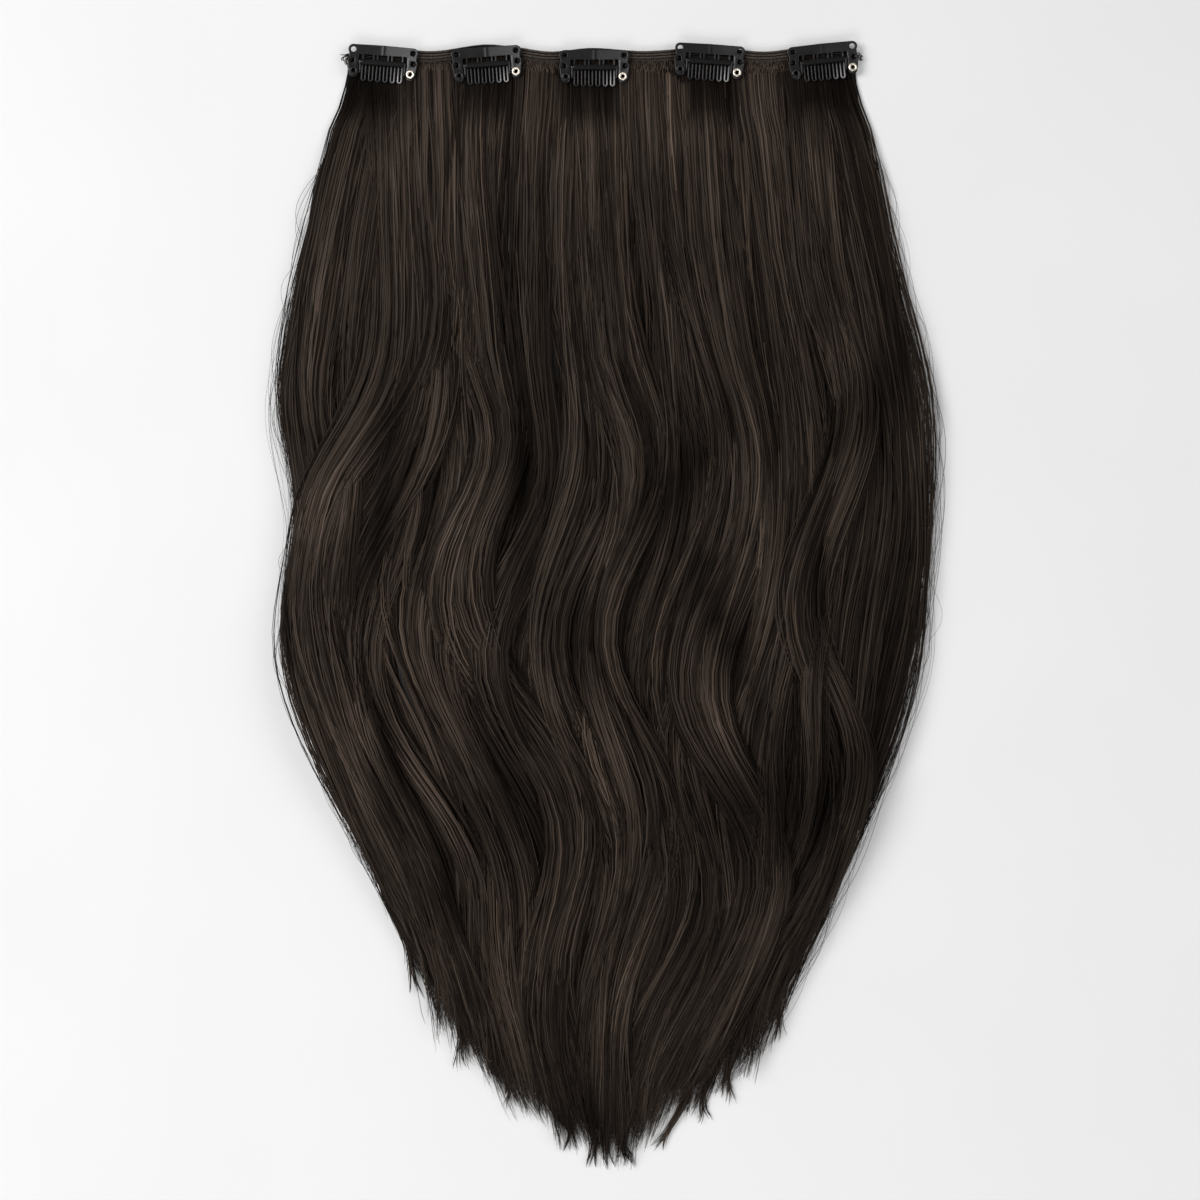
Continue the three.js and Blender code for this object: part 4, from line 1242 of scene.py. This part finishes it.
# %% Outline of the comb plate
def plate_outlines():
    lug_x = CLIP_WIDTH / 2 - LUG_RADIUS
    side_x = CLIP_WIDTH / 2 - SIDE_LUG_RADIUS
    side_y = -(LUG_RADIUS + EYELET_DROP) / 2
    inner = EYELET_X - TAB_RADIUS
    half_tooth = TOOTH_WIDTH / 2
    tip_y = -CLIP_HEIGHT + half_tooth
    bridge_top = -BRIDGE_DROP + BRIDGE_HEIGHT / 2
    bridge_bottom = -BRIDGE_DROP - BRIDGE_HEIGHT / 2
    right = [
        *arc(lug_x, -LUG_RADIUS, LUG_RADIUS, 90, -35, 14),
        *arc(side_x, side_y, SIDE_LUG_RADIUS, 45, -15, 8),
        *arc(EYELET_X, -EYELET_DROP, EYELET_HOLE + 1, -5, -150, 14),
        (inner, -EYELET_DROP),
        (inner, -SPINE_HEIGHT - 0.6),
        *arc(inner - 0.6, -SPINE_HEIGHT - 0.6, 0.6, 0, 90, 5),
    ]
    left = [(-x, y) for x, y in reversed(right)]
    comb_edge = []
    holes = []
    for pair in range(TOOTH_PAIRS - 1, -1, -1):
        middle = (pair - (TOOTH_PAIRS - 1) / 2) * 2 * TOOTH_PITCH
        far = middle + TOOTH_PITCH / 2
        near = middle - TOOTH_PITCH / 2
        slot = half_tooth - WIRE
        comb_edge += [
            (far + half_tooth, -SPINE_HEIGHT),
            *arc(far, tip_y, half_tooth, 0, -180, 12),
            (far - half_tooth, bridge_bottom - 0.3),
            *arc((near + far) / 2, bridge_bottom - 0.3, (TOOTH_PITCH - TOOTH_WIDTH) / 2, 0, 180, 6)[1:-1],
            (near + half_tooth, bridge_bottom - 0.3),
            *arc(near, tip_y, half_tooth, 0, -180, 12),
            (near - half_tooth, -SPINE_HEIGHT),
        ]
        for x in (near, far):
            upper = arc(x, bridge_bottom - slot, slot, 0, 180, 8)
            holes.append([*upper, *arc(x, tip_y, slot, 180, 360, 8)])
        low, high = near - slot, far + slot
        holes.append([(low, bridge_top), (high, bridge_top), (high, -SPINE_HEIGHT), (low, -SPINE_HEIGHT)])
    for side in (-1, 1):
        holes.append(hole(side * lug_x, -LUG_RADIUS, SEW_HOLE_RADIUS))
        holes.append(hole(side * side_x, side_y, SEW_HOLE_RADIUS))
        holes.append(hole(side * EYELET_X, -EYELET_DROP, EYELET_HOLE))
    outline = [(0, PLATE_CROWN), *right, *comb_edge, *left]
    return [outline, *holes]


# %% Stamp an outline out of sheet with rounded edges
def stamped(outlines, gauge, edge=EDGE_ROUND, rounds=1):
    """A mesh in millimetres: flat outlines with holes, as thick as the sheet, edges rolled."""
    curve = bpy.data.curves.new("stamping", "CURVE")
    curve.dimensions = "2D"
    curve.fill_mode = "BOTH"
    curve.extrude = gauge / 2 - edge
    curve.bevel_depth = edge
    curve.bevel_resolution = rounds
    curve.offset = -edge
    for points in outlines:
        spline = curve.splines.new("POLY")
        spline.points.add(len(points) - 1)
        spline.points.foreach_set("co", [v for x, y in points for v in (x, y, 0, 1)])
        spline.use_cyclic_u = True
    blank = add_object("stamping", curve)
    seen = blank.evaluated_get(bpy.context.evaluated_depsgraph_get())
    mesh = bpy.data.meshes.new_from_object(seen)
    bpy.data.objects.remove(blank)
    bpy.data.curves.remove(curve)
    return mesh


def reshaped(mesh, move):
    """Moves every point of a mesh by a rule on an array of places."""
    mesh.vertices.foreach_set("co", move(point_places(mesh)).ravel())
    mesh.update()
    return mesh


def sliced(mesh, cuts):
    """Cuts a mesh across X, so that it can bend."""
    work = bmesh.new()
    work.from_mesh(mesh)
    bmesh.ops.remove_doubles(work, verts=work.verts, dist=1e-4)
    for x in cuts:
        everything = work.verts[:] + work.edges[:] + work.faces[:]
        bmesh.ops.bisect_plane(work, geom=everything, plane_co=(x, 0, 0), plane_no=(1, 0, 0))
    work.to_mesh(mesh)
    work.free()
    return mesh


def bowed(places):
    places[:, 2] += PLATE_MIDDLE + bow_at(places[:, 0])
    return places


plate_mesh = stamped(plate_outlines(), PLATE_GAUGE, rounds=2)
bends = sorted([*np.arange(-15, 15.5, 1.5), -CREASE_WIDTH, CREASE_WIDTH])
plate_mesh = reshaped(sliced(plate_mesh, bends), bowed)
print("comb plate has", len(plate_mesh.polygons), "faces")


# %% Painted glint on the last teeth
GLINT_MOST = 0.4


def painted_glint_share(places):
    """How much painted glint each place gets, as bright steel: on the ends of the two teeth on the right."""
    x, y = places[:, 0], places[:, 1]
    tooth = smoothstep(x, 2.6, 7.6) * (x < EYELET_X - TAB_RADIUS)
    return GLINT_MOST * tooth * smoothstep(-y, BRIDGE_DROP + 1, CLIP_HEIGHT - 1)


give(plate_mesh, "worn", painted_glint_share(point_places(plate_mesh)))


# %% Turned and swept pieces
def rings_mesh(name, rings, closed_along=False):
    """A mesh from rings of points, each ring closed; the rows may close too."""
    rings = np.array(rings)
    count, around = rings.shape[:2]
    index = np.arange(count * around).reshape(count, around)
    faces = []
    for i in range(count if closed_along else count - 1):
        j = (i + 1) % count
        for k in range(around):
            m = (k + 1) % around
            faces.append(tuple(int(v) for v in (index[i, k], index[i, m], index[j, m], index[j, k])))
    mesh = bpy.data.meshes.new(name)
    mesh.from_pydata(rings.reshape(-1, 3).tolist(), [], faces)
    return mesh


EYELET_PROFILE = [
    # radius, height over the plate's middle
    (0.8, -1.05), (1.15, -1.05), (1.15, 0.45), (1.86, 0.45), (1.94, 0.5), (1.95, 0.58), (1.88, 0.7),
    (1.72, 0.8), (1.5, 0.85), (1.28, 0.83), (1.06, 0.74), (0.9, 0.6), (0.82, 0.45), (0.8, 0.3),
]


def eyelet_mesh():
    angles = np.linspace(0, 2 * math.pi, 29)[:-1]
    rings = [[(r * math.cos(a), r * math.sin(a), z) for a in angles] for r, z in EYELET_PROFILE]
    return rings_mesh("eyelet", rings, closed_along=True)


def tab_mesh():
    outline = [*arc(0, 0, TAB_RADIUS, 0, 180, 16), *arc(0, -TAB_LOBE, TAB_RADIUS, 180, 360, 16)]
    mesh = stamped([outline, hole(0, 0, EYELET_HOLE)], BAR_GAUGE)
    return reshaped(mesh, lambda places: places + np.array((0, 0, TAB_MIDDLE)))


def bar_parts():
    """The two arms and the crossbar of the spring bar."""
    hinge_y = -EYELET_DROP
    under, over = HINGE_Z - BAR_GAUGE / 2, HINGE_Z + BAR_GAUGE / 2
    bridge_y = -BRIDGE_DROP
    low, high = SLEEVE_Z - BAR_GAUGE / 2, SLEEVE_Z + BAR_GAUGE / 2
    side = [
        (hinge_y - 0.5, under), (hinge_y + 0.4, under), (hinge_y + 0.75, under + 0.1),
        (bridge_y - 0.7, low - 0.12), (bridge_y - 0.4, low), (bridge_y + 0.5, low),
        (bridge_y + 0.5, high), (bridge_y - 0.5, high), (bridge_y - 0.85, high - 0.12),
        (hinge_y + 0.6, over + 0.12), (hinge_y + 0.3, over), (hinge_y - 0.5, over),
    ]
    parts = []
    for hand in (-1, 1):
        middle = hand * (BAR_REACH - BAR_WIDTH / 2)
        arm = stamped([side], BAR_WIDTH)
        parts.append(reshaped(arm, lambda p, m=middle: np.stack([p[:, 2] + m, p[:, 0], p[:, 1]], axis=1)))
    reach = BAR_REACH - 0.4
    across = stamped([[(-reach, -0.5), (reach, -0.5), (reach, 0.5), (-reach, 0.5)]], BAR_GAUGE)
    parts.append(reshaped(across, lambda p: p + np.array((0, -BRIDGE_DROP, SLEEVE_Z))))
    return parts


def sleeve_mesh():
    """A rubber tube, oval outside, with a flat slot for the bar."""
    angles = np.linspace(0, 2 * math.pi, 25)[:-1]
    cos, sin = np.cos(angles), np.sin(angles)
    slot = np.stack([0.65 * np.sign(cos) * abs(cos) ** 0.45, 0.4 * np.sign(sin) * abs(sin) ** 0.45], axis=1)
    outside = np.stack([1.2 * cos, 0.95 * sin], axis=1)
    rings = []
    ends = [(0.0, 0.35), (0.0, 0.82), (0.07, 0.95), (0.2, 1.0)]
    left = [(-SLEEVE_REACH + inset, grown) for inset, grown in ends]
    swell = [(x, 1 + 0.018 * math.sin(x * 2.1)) for x in np.linspace(-9, 9, 25)]
    right = [(-x, grown) for x, grown in reversed(left)]
    for x, grown in [*left, *swell, *right]:
        oval = slot + (outside - slot) * min(1, grown) if grown < 0.9 else outside * grown
        rings.append([(x, -BRIDGE_DROP + y, SLEEVE_Z + z) for y, z in oval])
    for x in (SLEEVE_REACH - 0.02, -SLEEVE_REACH + 0.02):
        rings.append([(x, -BRIDGE_DROP + y, SLEEVE_Z + z) for y, z in slot])
    return rings_mesh("sleeve", rings, closed_along=True)


# %% Sewing threads through the plate's side holes
SEWN_X = 14
SEWN_Y = -7.2
SEWN_REACH = 2.05
THREAD_OFFSETS = (-0.42, 0.0, 0.4)


def thread_loops():
    """Threads that tie the plate to the band, from each side hole over the plate's edge."""
    draw = np.random.default_rng(5)
    top = PLATE_MIDDLE + PLATE_GAUGE / 2 + bow_at(SEWN_X) + 0.16
    line = [
        # outwards from the hole, height
        (-0.1, 1.5), (0.0, top - 0.25), (0.35, top + 0.05), (SEWN_REACH * 0.6, top + 0.08),
        (SEWN_REACH - 0.1, top), (SEWN_REACH + 0.12, top - 0.3), (SEWN_REACH + 0.1, 2.2),
        (SEWN_REACH - 0.6, 1.4),
    ]
    loops = []
    for hand in (-1, 1):
        for offset in THREAD_OFFSETS:
            slant = draw.uniform(-0.25, 0.25) / SEWN_REACH
            loops.append([(hand * (SEWN_X + out), SEWN_Y + offset + slant * out, z) for out, z in line])
    return loops


def thread_mesh(paths, radius=0.13):
    curve = bpy.data.curves.new("loops", "CURVE")
    curve.dimensions = "3D"
    curve.bevel_depth = radius
    curve.bevel_resolution = 1
    curve.use_fill_caps = True
    for path in paths:
        spline = curve.splines.new("NURBS")
        spline.points.add(len(path) - 1)
        spline.points.foreach_set("co", [v for p in path for v in (*p, 1)])
        spline.order_u = 3
        spline.use_endpoint_u = True
        spline.resolution_u = 2
    blank = add_object("loops", curve)
    mesh = bpy.data.meshes.new_from_object(blank.evaluated_get(bpy.context.evaluated_depsgraph_get()))
    bpy.data.objects.remove(blank)
    bpy.data.curves.remove(curve)
    return mesh


# %% Clip finishes
GLINT_STEEL = (0.6, 0.6, 0.6, 1)

enamel = Finish("black_enamel", Specular_IOR_Level=0.5)
enamel_grain = enamel.noise(enamel.place(), 900.0, 2.0)
enamel_wear = enamel.noise(enamel.place(), 160.0, 3.0)
black = enamel.ramp(enamel_wear, [(0.35, (0.0035, 0.0035, 0.004)), (0.75, (0.008, 0.008, 0.009))])
glint = enamel.attribute("worn")
# Painted highlight: the ends of the right teeth turn to bright steel where the light glints.
enamel.wear(
    Base_Color=enamel.mix(black, GLINT_STEEL, glint),
    Metallic=glint,
    Roughness=enamel.plus(0.24, enamel.times(enamel_wear, 0.14)),
)
enamel.bump(enamel_grain, 0.01 * MM, 0.1)

tin = Finish("worn_tin", Metallic=1.0)
tin_wear = tin.noise(tin.place(), 700.0, 3.0)
tin.wear(
    Base_Color=tin.ramp(tin_wear, [(0.3, (0.55, 0.48, 0.39)), (0.6, (0.86, 0.80, 0.70))]),
    Roughness=tin.plus(0.2, tin.times(tin_wear, 0.25)),
)
tin.bump(tin_wear, 0.03 * MM, 0.3)

rubber = Finish("black_rubber", Specular_IOR_Level=0.15)
rubber_grain = rubber.noise(rubber.place(), 1400.0, 2.0)
rubber.wear(
    Base_Color=rubber.ramp(rubber_grain, [(0.3, (0.003, 0.003, 0.003)), (0.7, (0.007, 0.007, 0.007))]),
    Roughness=rubber.plus(0.45, rubber.times(rubber_grain, 0.2)),
)
rubber.bump(rubber_grain, 0.05 * MM, 0.5)


# %% Build the five clips
def merged(name, meshes, place, finish):
    """One object from meshes in a clip's own millimetres, put at the clip's place."""
    work = bmesh.new()
    for mesh in meshes:
        work.from_mesh(mesh)
    bmesh.ops.remove_doubles(work, verts=work.verts, dist=1e-4)
    bmesh.ops.recalc_face_normals(work, faces=work.faces)
    bmesh.ops.transform(work, matrix=place @ Matrix.Scale(MM, 4), verts=work.verts)
    mesh = bpy.data.meshes.new(name)
    work.to_mesh(mesh)
    work.free()
    mesh.shade_smooth()
    mesh.set_sharp_from_angle(angle=math.radians(38))
    mesh.materials.append(finish.material)
    return add_object(name, mesh)


def clip_frame(joint):
    """A clip's own frame: its middle at the top edge, X along the hinge."""
    along = Vector(joint["axis"]).normalized()
    forward = Vector((-along.y, along.x, 0))
    origin = Vector(joint["pos_m"]) + forward * EYELET_DROP * MM
    place = Matrix((along, forward, (0, 0, 1))).transposed().to_4x4()
    place.translation = (origin.x, origin.y, 0)
    return place


eyelet = eyelet_mesh()
tab = tab_mesh()
bar = bar_parts()
sleeve = sleeve_mesh()
loops = thread_mesh(thread_loops())
seat_slope = 2 * PLATE_BOW * EYELET_X / (CLIP_WIDTH / 2) ** 2
seat_rise = PLATE_MIDDLE + PLATE_BOW * (EYELET_X / (CLIP_WIDTH / 2)) ** 2


def dress(piece, body, node):
    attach(piece, body)
    if node:
        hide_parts(node)


for joint in frame["joints"]:
    clip = joint["name"].replace("_snap", "")
    place = clip_frame(joint)
    dress(merged(f"{clip}_comb", [plate_mesh], place, enamel), "weft", f"{clip}_plate")
    for hand, side in (("left", -1), ("right", 1)):
        seat = Matrix.Translation((side * EYELET_X * MM, -EYELET_DROP * MM, seat_rise * MM))
        seat = place @ seat @ Matrix.Rotation(-side * math.atan(seat_slope), 4, "Y")
        rivet = merged(f"{clip}_rivet_{hand}", [eyelet], seat, enamel if hand == "left" else tin)
        dress(rivet, "weft", f"{clip}_eyelet_{hand}")
        foot = merged(f"{clip}_foot_{hand}", [tab], seat, enamel)
        dress(foot, "weft", f"{clip}_tab_{hand}")
    dress(merged(f"{clip}_spring_bar", bar, place, enamel), f"{clip}_spring", f"{clip}_bar")
    dress(merged(f"{clip}_rubber", [sleeve], place, rubber), f"{clip}_spring", f"{clip}_sleeve")
    sewing = merged(f"{clip}_sewing", [loops], place, thread)
    # Painted shade: the sewing threads lie under the plate, so their colour is mixed darker.
    give(sewing.data, "open", np.full(len(sewing.data.vertices), 0.25))
    dress(sewing, "weft", None)
print("five clips built")
